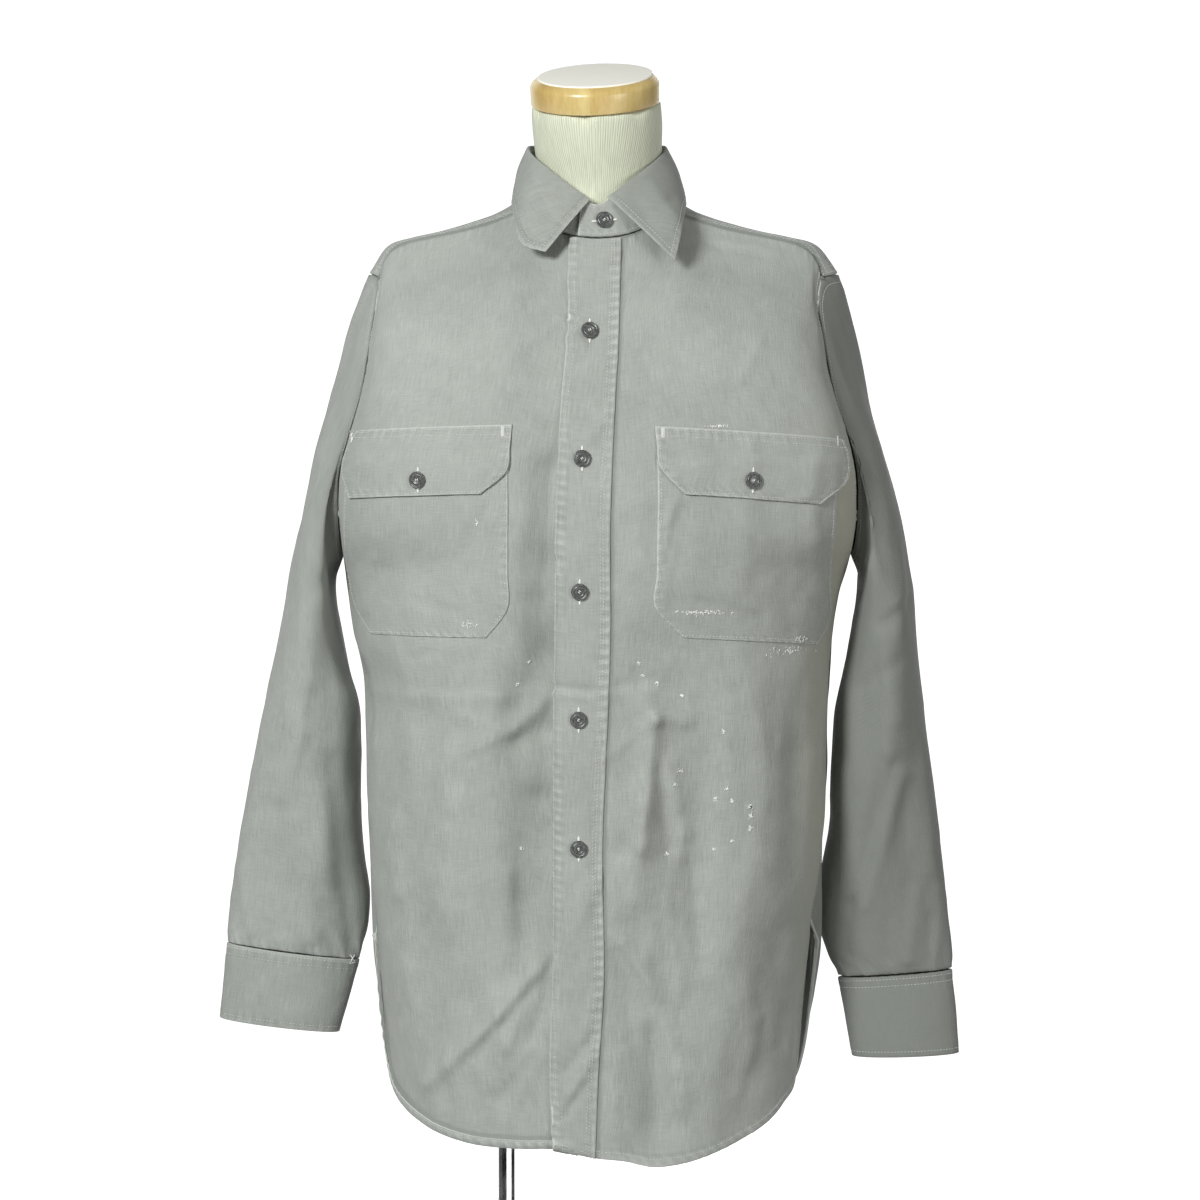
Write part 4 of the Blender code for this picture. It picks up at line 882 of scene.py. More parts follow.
# ---------- Fronts ----------
# Two panels of the same twill, felled to the yoke and side seams. The viewer's left one goes under the
# placket. Long soft folds fall between the pockets and the placket, and the hem is turned up twice.
TURNED_FAR = [(0.0007, 0.0005), (0.0010, 0.0034)]  # the edge of a side seam or a sleeve head reaches further
FRONT_STEP = 0.0027
FRONT_CREASES = [  # x and z of both ends, height, and the widths on its left and right going down it
    (-0.0396, 1.192, -0.0463, 1.0846, -0.0034, 0.006, 0.018),
    (-0.0463, 1.0846, -0.052, 1.002, -0.003, 0.01, 0.016),
    (-0.0421, 1.0028, -0.0669, 0.9764, 0.0022, 0.005, 0.012),
    (-0.0669, 0.9764, -0.1066, 0.959, 0.0018, 0.005, 0.011),
    (-0.0405, 0.9921, -0.0636, 0.9673, -0.0016, 0.008, 0.005),
    (-0.046, 0.78, -0.1404, 0.6757, 0.0018, 0.0045, 0.013),
    (-0.046, 0.767, -0.1322, 0.6683, -0.001, 0.007, 0.005),
    (-0.0735, 0.8533, -0.0669, 0.7468, 0.0022, 0.009, 0.014),
    (-0.0487, 0.9731, -0.0529, 0.9194, -0.0036, 0.013, 0.009),
    (-0.0529, 0.9194, -0.0578, 0.8368, -0.0036, 0.014, 0.009),
    (-0.0578, 0.8368, -0.0694, 0.7666, -0.0026, 0.014, 0.01),
    (-0.1693, 0.8987, -0.1652, 0.8368, 0.0016, 0.006, 0.01),
    (-0.1545, 1.035, -0.1363, 1.04, -0.001, 0.004, 0.004),
    (-0.0256, 1.3109, -0.0917, 1.2465, 0.0016, 0.014, 0.022),
    (-0.0264, 1.3027, -0.0636, 1.2729, -0.001, 0.008, 0.012),
    (-0.1908, 1.0045, -0.0752, 1.0028, 0.0008, 0.004, 0.007),
    (-0.043, 0.7625, -0.052, 0.7195, -0.0024, 0.01, 0.008),
    (-0.1611, 0.7955, -0.1363, 0.6898, 0.0022, 0.014, 0.018),
    (-0.1049, 0.7542, -0.0801, 0.6716, -0.0022, 0.013, 0.015),
    (-0.1173, 0.9359, -0.1231, 0.8327, 0.0018, 0.018, 0.022),
    (-0.1462, 0.9855, -0.1429, 0.8781, -0.0014, 0.014, 0.012),
    (-0.0553, 1.1672, -0.0702, 1.1176, 0.0012, 0.008, 0.012),
    (-0.0933, 1.035, -0.0636, 1.0103, -0.001, 0.006, 0.008),
    (-0.0471, 0.7046, -0.076, 0.6509, 0.0014, 0.006, 0.009),
    (0.0124, 1.0103, 0.0479, 0.9863, 0.002, 0.008, 0.006),
    (0.0479, 0.9863, 0.0752, 0.9822, 0.0016, 0.008, 0.006),
    (0.0479, 0.9838, 0.0363, 0.8806, 0.003, 0.014, 0.007),
    (0.0363, 0.8806, 0.033, 0.8368, 0.0024, 0.014, 0.008),
    (0.0306, 0.9706, 0.0231, 0.8764, -0.0026, 0.008, 0.01),
    (0.0611, 0.9475, 0.0719, 0.8897, 0.0018, 0.01, 0.006),
    (0.0719, 0.8897, 0.0702, 0.8715, 0.0014, 0.008, 0.006),
    (0.0553, 0.9425, 0.0628, 0.8781, -0.0014, 0.006, 0.007),
    (0.0834, 0.8632, 0.0876, 0.7831, -0.0022, 0.012, 0.008),
    (0.0207, 0.8005, 0.0496, 0.7559, 0.002, 0.01, 0.006),
    (0.0157, 0.7905, 0.0421, 0.7476, -0.0014, 0.006, 0.008),
    (0.0454, 0.7203, 0.052, 0.6493, -0.0026, 0.008, 0.012),
    (0.0586, 0.7294, 0.0686, 0.6633, 0.0018, 0.01, 0.008),
    (0.0116, 0.9566, 0.0463, 0.9838, 0.0014, 0.006, 0.005),
    (0.0099, 1.0119, 0.038, 1.0169, -0.0012, 0.004, 0.005),
    (0.0413, 0.9995, 0.076, 0.9838, 0.0012, 0.005, 0.006),
    (0.0991, 1.2556, 0.1181, 1.2556, -0.0008, 0.004, 0.005),
    (0.1198, 1.268, 0.1346, 1.2961, 0.0009, 0.005, 0.006),
    (0.0776, 1.391, 0.1536, 1.3762, 0.0008, 0.003, 0.0035),
    (0.0843, 1.3844, 0.1412, 1.3729, -0.0006, 0.003, 0.003),
    (0.1363, 1.002, 0.1446, 0.8698, 0.0018, 0.016, 0.018),
    (0.1702, 0.9524, 0.1652, 0.812, -0.0022, 0.013, 0.015),
    (0.114, 0.8368, 0.1231, 0.7046, 0.0024, 0.016, 0.018),
    (0.1536, 0.7955, 0.1346, 0.6865, -0.002, 0.013, 0.014),
    (0.0173, 0.7046, 0.0124, 0.6468, 0.0016, 0.01, 0.007),
    (0.1016, 1.0516, 0.1198, 1.0103, -0.001, 0.008, 0.007),
    (0.0355, 1.1672, 0.0306, 1.0681, 0.0012, 0.012, 0.01),
    (0.0768, 1.3489, 0.0355, 1.3076, 0.001, 0.012, 0.014),
]
UNDER_CREASES = [  # on the viewer's left only, beside the placket
    (-0.027, 1.225, -0.0285, 1.192, -0.0026, 0.01, 0.018),
    (-0.0285, 1.192, -0.03, 1.1176, -0.0056, 0.01, 0.022),
    (-0.03, 1.1176, -0.032, 1.035, -0.0052, 0.01, 0.022),
    (-0.032, 1.035, -0.033, 0.9772, -0.004, 0.01, 0.022),
    (-0.033, 0.969, -0.0325, 0.8864, -0.005, 0.01, 0.026),
    (-0.0325, 0.8864, -0.0345, 0.812, -0.0054, 0.01, 0.028),
    (-0.0345, 0.812, -0.042, 0.7542, -0.0034, 0.012, 0.022),
    (-0.034, 1.05, -0.036, 0.79, -0.0062, 0.015, 0.044),
    (-0.034, 1.2, -0.034, 1.05, -0.0026, 0.015, 0.034),
    (-0.044, 0.786, -0.0801, 0.7377, 0.0013, 0.003, 0.008),
    (-0.0801, 0.7377, -0.1404, 0.6757, 0.0016, 0.0028, 0.008),
    (-0.042, 0.776, -0.0768, 0.7294, -0.0008, 0.004, 0.004),
    (-0.0421, 0.7592, -0.0504, 0.7245, -0.0018, 0.006, 0.005),
    (-0.0636, 0.7443, -0.0735, 0.7112, 0.0014, 0.0036, 0.006),
    (-0.0983, 0.7212, -0.0917, 0.6782, 0.0014, 0.0036, 0.007),
    (-0.133, 0.7046, -0.1247, 0.665, -0.0014, 0.005, 0.006),
    (-0.046, 0.726, -0.064, 0.69, 0.0015, 0.0034, 0.006),
    (-0.056, 0.702, -0.08, 0.67, -0.0013, 0.005, 0.0036),
    (-0.101, 0.696, -0.086, 0.66, 0.0013, 0.0034, 0.006),
    (-0.16, 0.776, -0.148, 0.718, 0.0014, 0.004, 0.01),
    (-0.152, 0.842, -0.157, 0.79, 0.0012, 0.005, 0.012),
    (-0.1115, 0.9888, -0.0735, 0.9739, 0.0012, 0.0028, 0.006),
    (-0.0421, 1.002, -0.0636, 0.9789, 0.0016, 0.0028, 0.006),
    (-0.0306, 1.3142, -0.0636, 1.2894, 0.0012, 0.004, 0.01),
    (-0.171, 1.0516, -0.1545, 1.002, 0.001, 0.004, 0.007),
]
OVER_CREASES = [  # on the viewer's right only
    (0.07, 1.04, 0.076, 0.78, -0.0068, 0.042, 0.042),
    (0.0479, 0.9855, 0.0421, 0.9277, 0.0012, 0.006, 0.003),
    (0.0421, 0.9277, 0.0355, 0.8781, 0.0012, 0.006, 0.003),
    (0.0611, 0.9458, 0.0686, 0.9111, 0.0012, 0.005, 0.003),
    (0.0207, 0.7988, 0.0471, 0.7608, 0.0014, 0.006, 0.003),
    (0.0256, 0.7542, 0.0322, 0.7046, -0.0012, 0.006, 0.005),
    (0.0586, 0.8368, 0.0686, 0.7625, 0.0012, 0.008, 0.005),
    (0.0851, 1.002, 0.0983, 0.9673, -0.0008, 0.005, 0.004),
    (0.0322, 1.0251, 0.0454, 1.0169, -0.001, 0.003, 0.004),
    (0.0851, 0.8368, 0.09, 0.7955, -0.001, 0.004, 0.006),
    (0.1346, 0.7294, 0.1181, 0.6716, 0.0012, 0.006, 0.008),
    (0.1677, 0.7542, 0.1561, 0.7046, -0.0014, 0.006, 0.008),
]
CREASES_SET = 1.2  # how much the wash has deepened the creases that both fronts share
FRONT_HEM_ROLL = 0.0026  # the viewer's left hem has rolled outwards in the wash


def drape_front(node, seed):
    """A front panel with its creases, the puckers along its seams and its rolled hem, its wear with painted
    light and shade, and a painted warm rim light.
    """
    grid = fine_grid(cut_from(node, BODY_MIDDLE), FRONT_STEP)
    across, to_right, down, to_hem = gaps(grid)
    to_side = across if node == "front_under" else to_right
    held = edge_fade(grid, 0, 0, 0.010, 0) * step_up(to_side, 0, 0.012)
    loose = CREASES_SET * press(grid, FRONT_CREASES)
    if node == "front_under":
        loose += press(grid, UNDER_CREASES)
    else:
        loose += press(grid, OVER_CREASES) * step_up(grid[..., 0], 0.010, 0.020)
    low = 1 - step_up(grid[..., 2], 0.98, 1.06)
    loose += 0.0013 * low * crumple(grid, 0.034, 0.110, seed + 4)
    loose += uneven(grid, seed, (0.0010, 0.045), (0.0004, 0.015))
    gathers = gather(0.00028, down, 0.0090, seed, to_side - 0.006, 0.0060)
    gathers += gather(0.00028, across, 0.0088, seed + 1, down - 0.006, 0.0060)
    slanting = across + to_hem * 0.9  # the hem has twisted, so its puckers slant like a rope's strands
    gathers += gather(0.00040, slanting, 0.0098, seed + 2, to_hem - 0.0045, 0.0035)
    rolled = step_up(-grid[..., 0], 0.012, 0.030)
    profile = np.sqrt(np.clip(1 - ((to_hem - 0.0040) / 0.0048) ** 2, 0, 1))
    roll = rolled * (FRONT_HEM_ROLL * profile - 0.0008 * beside(to_hem - 0.0095, 0.0020))
    band = 0.0006 * (1 - step_up(to_hem, 0.0060, 0.0078))
    grid = raise_by(grid, loose * held + gathers + roll + band)
    # Worn pale along the side seam and the hem. The rest is painted light and shade: a painted shadow along
    # the top edge under the yoke, pucker crests lighter and troughs darker, painted shade in the groove above
    # the rolled hem, and fold ridges lighter with troughs darker.
    wear_and_painted_light = 0.75 * beside(to_side, 0.0018) - 1.7 * beside(down, 0.0018) + 0.45 * beside(to_hem, 0.0022)
    wear_and_painted_light += 900 * gathers - (0.5 + 1.1 * rolled) * beside(to_hem - 0.0092, 0.0016)
    wear_and_painted_light += 0.12 * np.clip(loose / 0.0030, -1, 1)
    # Painted shadow: a dark line on the front just past the placket's sewn edge.
    sewn_edge = cut_from("front_placket", BODY_MIDDLE)[::-1, -1]
    past_placket = grid[..., 0] - np.interp(grid[..., 2], sewn_edge[:, 2], sewn_edge[:, 0])
    wear_and_painted_light -= 1.3 * beside(past_placket - 0.0016, 0.0019)
    # Painted light: a warm glow towards the viewer's right side below the chest, standing in for light thrown
    # back from the backdrop.
    painted_rim_light = step_up(grid[..., 0], 0.150, 0.215) * (1 - step_up(grid[..., 2], 1.16, 1.26))
    return grid, wear_and_painted_light, 0.75 * painted_rim_light


def tree_of(grid):
    """The outer face of a grid, to find the places that lie on it."""
    rows, columns = grid.shape[:2]
    corner = np.arange(rows * columns).reshape(rows, columns)
    faces = np.stack([corner[:-1, :-1], corner[1:, :-1], corner[1:, 1:], corner[:-1, 1:]], axis=-1)
    faces = faces.reshape(-1, 4)
    return BVHTree.FromPolygons(grid.reshape(-1, 3).tolist(), faces.tolist())


top_and_hem = {"top": TURNED, "foot": HEMMED}
under_grid, wear_and_painted_light, rim_light_warmth = drape_front("front_under", 5)
wear_and_light = {"wear_and_painted_light": wear_and_painted_light, "rim_light_warmth": rim_light_warmth}
under_front = cut_sheet("under_front", "front_under", under_grid, **wear_and_light, left=TURNED_FAR, **top_and_hem)
over_grid, wear_and_painted_light, rim_light_warmth = drape_front("front_over", 11)
wear_and_light = {"wear_and_painted_light": wear_and_painted_light, "rim_light_warmth": rim_light_warmth}
over_front = cut_sheet("over_front", "front_over", over_grid, **wear_and_light, right=TURNED_FAR, **top_and_hem)
fronts_below = [tree_of(under_grid), tree_of(over_grid)]

# ---------- Placket ----------
# A band of twill folded double, set on the over front's edge with two rows of stitching, and one more row
# beside its free edge. That edge is worn white and puckered, and small creases lie round the first button.
FINE = 0.0020  # distance between the points of a small piece
PLACKET_SET = 1.6  # how much the wash has deepened its creases
PLACKET_CREASES = [
    (0.014, 1.3704, -0.0165, 1.3456, 0.001, 0.006, 0.01),
    (-0.0339, 1.0119, -0.0041, 1.0094, -0.001, 0.004, 0.004),
    (-0.0339, 1.007, -0.0058, 1.0037, 0.0008, 0.003, 0.004),
    (-0.019, 1.3101, -0.0058, 1.301, -0.0016, 0.005, 0.004),
    (-0.0223, 1.3175, -0.0091, 1.3076, 0.0012, 0.004, 0.005),
    (-0.0223, 1.2994, -0.0107, 1.2944, 0.001, 0.004, 0.005),
    (-0.0041, 0.7212, -0.024, 0.6947, -0.0012, 0.005, 0.006),
    (-0.0058, 0.703, -0.0207, 0.6749, 0.0013, 0.005, 0.004),
    (-0.0107, 0.6799, -0.0256, 0.6567, -0.0012, 0.004, 0.005),
    (-0.0008, 0.7542, -0.0107, 0.7212, 0.0008, 0.005, 0.006),
    (0.0074, 1.2333, -0.0041, 1.2168, 0.0007, 0.004, 0.006),
    (-0.0289, 1.1176, -0.0207, 1.097, -0.0007, 0.005, 0.005),
    (0.0025, 0.8533, -0.0182, 0.812, 0.0008, 0.006, 0.008),
]


def laid_on(grid, below, lift, soften=0):
    """Lays a grid on the pieces below it: each point goes back onto the foremost, and off it by the lift."""
    back = Vector((0, 1, 0))
    deep = grid[..., 1].copy()
    for at in np.ndindex(*deep.shape):
        start = Vector((grid[at][0], -0.5, grid[at][2]))
        hits = [tree.ray_cast(start, back)[0] for tree in below]
        fronts = [hit.y for hit in hits if hit and abs(hit.y - deep[at]) < 0.025]
        deep[at] = min(fronts, default=deep[at])
    for _ in range(soften):
        wide = np.pad(deep, 1, mode="edge")
        deep = (wide[:-2, 1:-1] + wide[2:, 1:-1] + wide[1:-1, :-2] + wide[1:-1, 2:] + 4 * deep) / 8
    laid = np.stack([grid[..., 0], deep, grid[..., 2]], axis=-1)
    return raise_by(laid, lift)


placket_grid = fine_grid(cut_from("front_placket", BODY_MIDDLE), FINE)
to_free, to_sewn, down, _ = gaps(placket_grid)
puff = 0.0006 * (1 - beside(to_free, 0.004)) * (1 - beside(to_sewn, 0.010))
gathers = gather(0.00042, down, 0.0082, 21, to_free - 0.0045, 0.0042)
gathers += gather(0.00048, down, 0.0086, 22, to_sewn - 0.0045, 0.0045)
for groove in (to_free - 0.0080, to_sewn - 0.0053, to_sewn - 0.0078):
    gathers -= 0.00022 * beside(groove, 0.0009)
creases = PLACKET_SET * press(placket_grid, PLACKET_CREASES) + uneven(placket_grid, 23, (0.0003, 0.018))
placket_grid = laid_on(placket_grid, fronts_below, 0.0015 + puff + gathers + creases)
# Worn pale along both edges; pucker crests painted lighter, troughs and stitch grooves painted darker.
wear_and_painted_light = 0.95 * beside(to_free, 0.0012) + 0.5 * beside(to_sewn - 0.001, 0.0012) + 950 * gathers
placket = cut_sheet("placket", "front_placket", placket_grid, wear_and_painted_light=wear_and_painted_light, left=TURNED, right=TURNED, foot=HEMMED)
placket_tree = tree_of(placket_grid)
fronts_below.append(placket_tree)

# ---------- Sleeves ----------
# One piece of twill each, rolled into a tube and felled along the underarm, with its head sewn into the
# armhole. They hang a little away from the body, empty, with soft folds round the elbow and small pleats
# where the fullness is held by the cuff.
SLEEVE_STEP = 0.0031
SLEEVE_CREASES = {
    "left": [
        (-0.2654, 0.96, -0.2873, 0.9365, -0.0016, 0.005, 0.009),
        (-0.2495, 0.9676, -0.273, 0.913, 0.0016, 0.007, 0.01),
        (-0.2444, 0.997, -0.2596, 0.9029, -0.0022, 0.007, 0.011),
        (-0.2243, 0.9424, -0.2209, 0.8357, -0.0024, 0.01, 0.008),
        (-0.2344, 0.913, -0.2377, 0.8248, 0.002, 0.009, 0.009),
        (-0.31, 0.8458, -0.2965, 0.7954, 0.0014, 0.006, 0.006),
        (-0.2814, 0.871, -0.2764, 0.7937, -0.0016, 0.006, 0.007),
        (-0.2495, 0.8458, -0.2461, 0.7887, 0.0016, 0.006, 0.006),
        (-0.2176, 0.829, -0.2108, 0.7853, -0.0014, 0.006, 0.006),
        (-0.2125, 1.1146, -0.231, 1.0306, -0.0022, 0.01, 0.012),
        (-0.231, 1.1902, -0.2495, 1.1146, 0.0018, 0.01, 0.01),
        (-0.2579, 1.081, -0.2243, 1.1045, -0.0016, 0.006, 0.009),
        (-0.2075, 1.081, -0.2125, 0.997, 0.002, 0.007, 0.01),
        (-0.2747, 1.0054, -0.2814, 0.9617, 0.0012, 0.006, 0.008),
        (-0.2117, 1.3078, -0.2243, 1.2322, -0.0014, 0.007, 0.01),
    ],
    "right": [
        (0.252, 0.9382, 0.2192, 0.8172, -0.003, 0.006, 0.01),
        (0.2192, 0.8172, 0.2167, 0.7719, -0.0018, 0.005, 0.007),
        (0.2612, 0.9298, 0.231, 0.8164, 0.0022, 0.008, 0.006),
        (0.268, 1.081, 0.2461, 1.0625, -0.002, 0.008, 0.006),
        (0.2293, 1.1146, 0.2528, 1.081, 0.0018, 0.008, 0.01),
        (0.2419, 1.0474, 0.2545, 0.9802, 0.002, 0.01, 0.008),
        (0.1949, 0.8332, 0.1924, 0.7887, -0.0016, 0.006, 0.006),
        (0.2898, 0.8038, 0.2881, 0.7652, -0.0016, 0.005, 0.006),
        (0.2764, 0.829, 0.2696, 0.7668, 0.0016, 0.007, 0.006),
        (0.2503, 0.8038, 0.2528, 0.7668, -0.0012, 0.005, 0.006),
        (0.2226, 1.2238, 0.2377, 1.1314, -0.0016, 0.01, 0.012),
        (0.2142, 1.1314, 0.2008, 1.076, -0.004, 0.008, 0.012),
        (0.2092, 1.0642, 0.2058, 0.9466, -0.0022, 0.009, 0.012),
        (0.2797, 0.9298, 0.2864, 0.8458, 0.0014, 0.008, 0.01),
        (0.2587, 1.0306, 0.226, 1.0054, -0.0014, 0.006, 0.007),
    ],
}
SLEEVE_PAINTED_SHADE = {"left": 0.06, "right": 0.30}  # painted shade, strongest on the viewer's right sleeve and cuff, which hang in shade
# A darker twill for the viewer's right sleeve and cuff: painted shade.
painted_shade_twill = dye("sage_twill_painted_shade", (0.176, 0.184, 0.168), (0.40, 0.42, 0.39))
SLEEVE_CLOTH = {"left": twill, "right": painted_shade_twill}
MIRROR = {"left": (1, 1, 1), "right": (-1, 1, 1)}
SLEEVE_BACK_CREASES = [  # mirrored for the right one
    (-0.212, 1.3, -0.225, 1.19, -0.0024, 0.011, 0.014),
    (-0.238, 1.21, -0.25, 1.1, 0.002, 0.01, 0.013),
    (-0.246, 1.04, -0.215, 1.015, -0.003, 0.007, 0.01),
    (-0.256, 1.01, -0.226, 0.982, 0.0022, 0.008, 0.007),
    (-0.268, 0.985, -0.238, 0.945, -0.0024, 0.007, 0.01),
    (-0.282, 0.93, -0.262, 0.83, 0.002, 0.009, 0.011),
    (-0.24, 0.93, -0.236, 0.8, -0.002, 0.008, 0.01),
    (-0.3, 0.86, -0.302, 0.79, -0.0014, 0.006, 0.007),
]
sleeve_grids = {}
for side, seed in (("left", 31), ("right", 37)):
    grid = fine_grid(cut_from("sleeve_" + side), SLEEVE_STEP, closed=True)
    across, _, down, to_cuff = gaps(grid)
    normal = outwards(grid, closed=True)
    ahead = step_up(-normal[..., 1], 0.0, 0.35)
    behind = step_up(normal[..., 1], 0.0, 0.35)
    loose = press(grid, SLEEVE_CREASES[side]) * ahead
    loose += press(grid * MIRROR[side], SLEEVE_BACK_CREASES) * behind
    loose += uneven(grid, seed, (0.0011, 0.050), (0.0004, 0.016))
    loose += 0.0014 * crumple(grid, 0.030, 0.100, seed + 6)
    held = edge_fade(grid, 0, 0, 0.014, 0.010)
    gathers = gather(0.00030, across, 0.0088, seed, down - 0.005, 0.0060)
    gathers += gather(0.00090, across, 0.0240, seed + 2, to_cuff - 0.008, 0.016)
    gathers += gather(0.00030, across, 0.0080, seed + 3, to_cuff - 0.003, 0.005)
    grid = grid + normal * (loose * held + gathers)[..., None]
    # Painted shadow along the sleeve head's seam under the body's edge; worn pale at the cuff seam; pucker
    # crests painted lighter and troughs darker; painted shade over the whole sleeve.
    wear_and_painted_light = -0.6 * beside(down, 0.0016) + 0.3 * beside(to_cuff, 0.0020) + 700 * gathers - SLEEVE_PAINTED_SHADE[side]
    grid[:, -1] = grid[:, 0]
    sleeve_grids[side] = grid
    name = "sleeve_" + side
    look = {"wear_and_painted_light": wear_and_painted_light, "cloth": SLEEVE_CLOTH[side]}
    sleeve = cut_sheet(name, name, grid, closed=True, **look, top=TURNED_FAR, foot=TURNED)

# ---------- Cuffs ----------
# A double strip of twill round each sleeve's end, stitched along all its edges, whose outer end laps over the
# inner one at the back and is buttoned there.
DOUBLE_WALL = 0.0016  # thickness of the CAD's double layers
LAYERS = 0.0015
FOLDED = [(0.0004, 0.0004), (0.0004, 0.0011)]  # the folded edge of a double piece
cuff_grids = {}
for side, seed in (("left", 43), ("right", 47)):
    grid = fine_grid(cut_from("cuff_" + side, wall=DOUBLE_WALL), FINE)
    across, to_right, down, to_foot = gaps(grid)
    to_end = np.minimum(across, to_right)
    held = edge_fade(grid, 0.010, 0.010, 0.006, 0.006)
    loose = uneven(grid, seed, (0.0007, 0.040), (0.00035, 0.013))
    gathers = gather(0.00030, across, 0.0084, seed, down - 0.0065, 0.0055)
    gathers += gather(0.00026, across, 0.0090, seed + 1, to_foot - 0.0035, 0.0045)
    gathers -= 0.00025 * (beside(down - 0.0080, 0.0010) + beside(to_foot - 0.0045, 0.0010))
    grid = raise_by(grid, loose * held + gathers)
    wear_and_painted_light = 0.6 * beside(down, 0.0014) + 0.6 * beside(to_foot, 0.0015) + 0.6 * beside(to_end, 0.0015)
    # Pucker crests painted lighter, troughs and stitch grooves darker; painted shade over the whole cuff,
    # more on the viewer's right.
    wear_and_painted_light += 900 * gathers - SLEEVE_PAINTED_SHADE[side] - 0.30
    cuff_grids[side] = grid
    name = "cuff_" + side
    look = {"wear_and_painted_light": wear_and_painted_light, "cloth": SLEEVE_CLOTH[side]}
    folds = {"top": TURNED, "foot": FOLDED, "left": FOLDED, "right": FOLDED}
    cuff = cut_sheet(name, name, grid, wall=LAYERS, **look, **folds)

# ---------- Collar ----------
# A stand cut as a low double band on the neckline, with a rounded over end, and a double leaf with pointed
# ends that rolls over it. Both were stiffened and top-stitched, and the washed edges are rubbed pale.
COLLAR_MIDDLE = Vector((0, 0, 1.43))
STAND_ROUND = 0.0105  # radius of the over end's upper corner
ROLLED = [(0.0011, 0.0004), (0.0016, 0.0014), (0.0011, 0.0025), (-0.0010, 0.0031), (-0.0060, 0.0034)]
LEAF_CREASES = [
    (-0.062, 1.44, -0.05, 1.4, -0.001, 0.006, 0.008),
    (-0.03, 1.405, -0.05, 1.385, 0.0008, 0.006, 0.006),
    (0.03, 1.42, 0.06, 1.38, -0.0014, 0.006, 0.008),
    (0.048, 1.43, 0.066, 1.4, 0.0012, 0.006, 0.006),
    (-0.056, 1.418, -0.03, 1.398, -0.0011, 0.005, 0.006),
    (-0.048, 1.398, -0.026, 1.392, 0.0009, 0.004, 0.005),
    (0.04, 1.405, 0.062, 1.418, -0.001, 0.005, 0.005),
    (0.052, 1.392, 0.064, 1.372, 0.001, 0.004, 0.005),
]
stand_grid = fine_grid(cut_from("collar_stand", COLLAR_MIDDLE, DOUBLE_WALL), FINE)
across, down = lengths(stand_grid)
inside = np.clip(STAND_ROUND - across[:1], 0, STAND_ROUND)
lowered = STAND_ROUND - np.sqrt(STAND_ROUND**2 - inside**2)
share = 1 - lowered / np.maximum(down[-1:], 1e-6)
foot_row = stand_grid[-1:]
stand_grid = foot_row + (stand_grid - foot_row) * share[..., None]
across, _, down, to_foot = gaps(stand_grid)
by_seams = beside(down - 0.004, 0.004) + beside(to_foot - 0.004, 0.004)
gathers = 0.00028 * pucker(across, 0.0078, 51) * by_seams + uneven(stand_grid, 52, (0.0003, 0.014))
stand_grid = raise_by(stand_grid, gathers * edge_fade(stand_grid, 0.003, 0.003, 0.002, 0.001))
# Worn pale along the over end and the top edge; crests of puckers and unevenness painted lighter, troughs
# darker.
wear_and_painted_light = 0.8 * beside(across, 0.0012) + 0.6 * beside(down, 0.0012) + 900 * gathers
stand = cut_sheet("collar_stand", "collar_stand", stand_grid, wall=LAYERS, wear_and_painted_light=wear_and_painted_light, left=FOLDED, foot=TURNED)

leaf_grid = fine_grid(cut_from("collar_leaf", COLLAR_MIDDLE, DOUBLE_WALL), FINE)
across, to_right, down, to_foot = gaps(leaf_grid)
to_end = np.minimum(across, to_right)
to_edge = np.minimum(to_foot, to_end)
way = np.where(to_foot < to_end, across, down)
loose = press(leaf_grid, LEAF_CREASES) * step_up(-leaf_grid[..., 1], 0.0, 0.03)
loose += uneven(leaf_grid, 53, (0.0009, 0.034), (0.0003, 0.012))
gathers = gather(0.00034, way, 0.0074, 55, to_edge - 0.0035, 0.0032) * step_up(down, 0.004, 0.012)
gathers -= 0.00028 * beside(to_edge - 0.0052, 0.0010) * step_up(down, 0.004, 0.010)
held = step_up(to_edge, 0, 0.006) * step_up(down, 0, 0.004)
leaf_grid = raise_by(leaf_grid, loose * held + gathers)
# Worn pale along the edges; pucker crests painted lighter, troughs darker.
wear_and_painted_light = 0.65 * beside(to_edge, 0.0012) + 0.10 * beside(down, 0.002) + 900 * gathers
# Painted shade: the leaf is darker towards the viewer's right, where it faces away from the light, and a
# little darker all over; a painted shade line lies in the stitch groove.
wear_and_painted_light -= 0.45 * step_up(leaf_grid[..., 0], -0.005, 0.030) + 0.30
wear_and_painted_light -= 0.5 * beside(to_edge - 0.0052, 0.0009)
folds = {"foot": FOLDED, "left": FOLDED, "right": FOLDED, "top": ROLLED}
leaf = cut_sheet("collar_leaf", "collar_leaf", leaf_grid, wall=LAYERS, wear_and_painted_light=wear_and_painted_light, **folds)

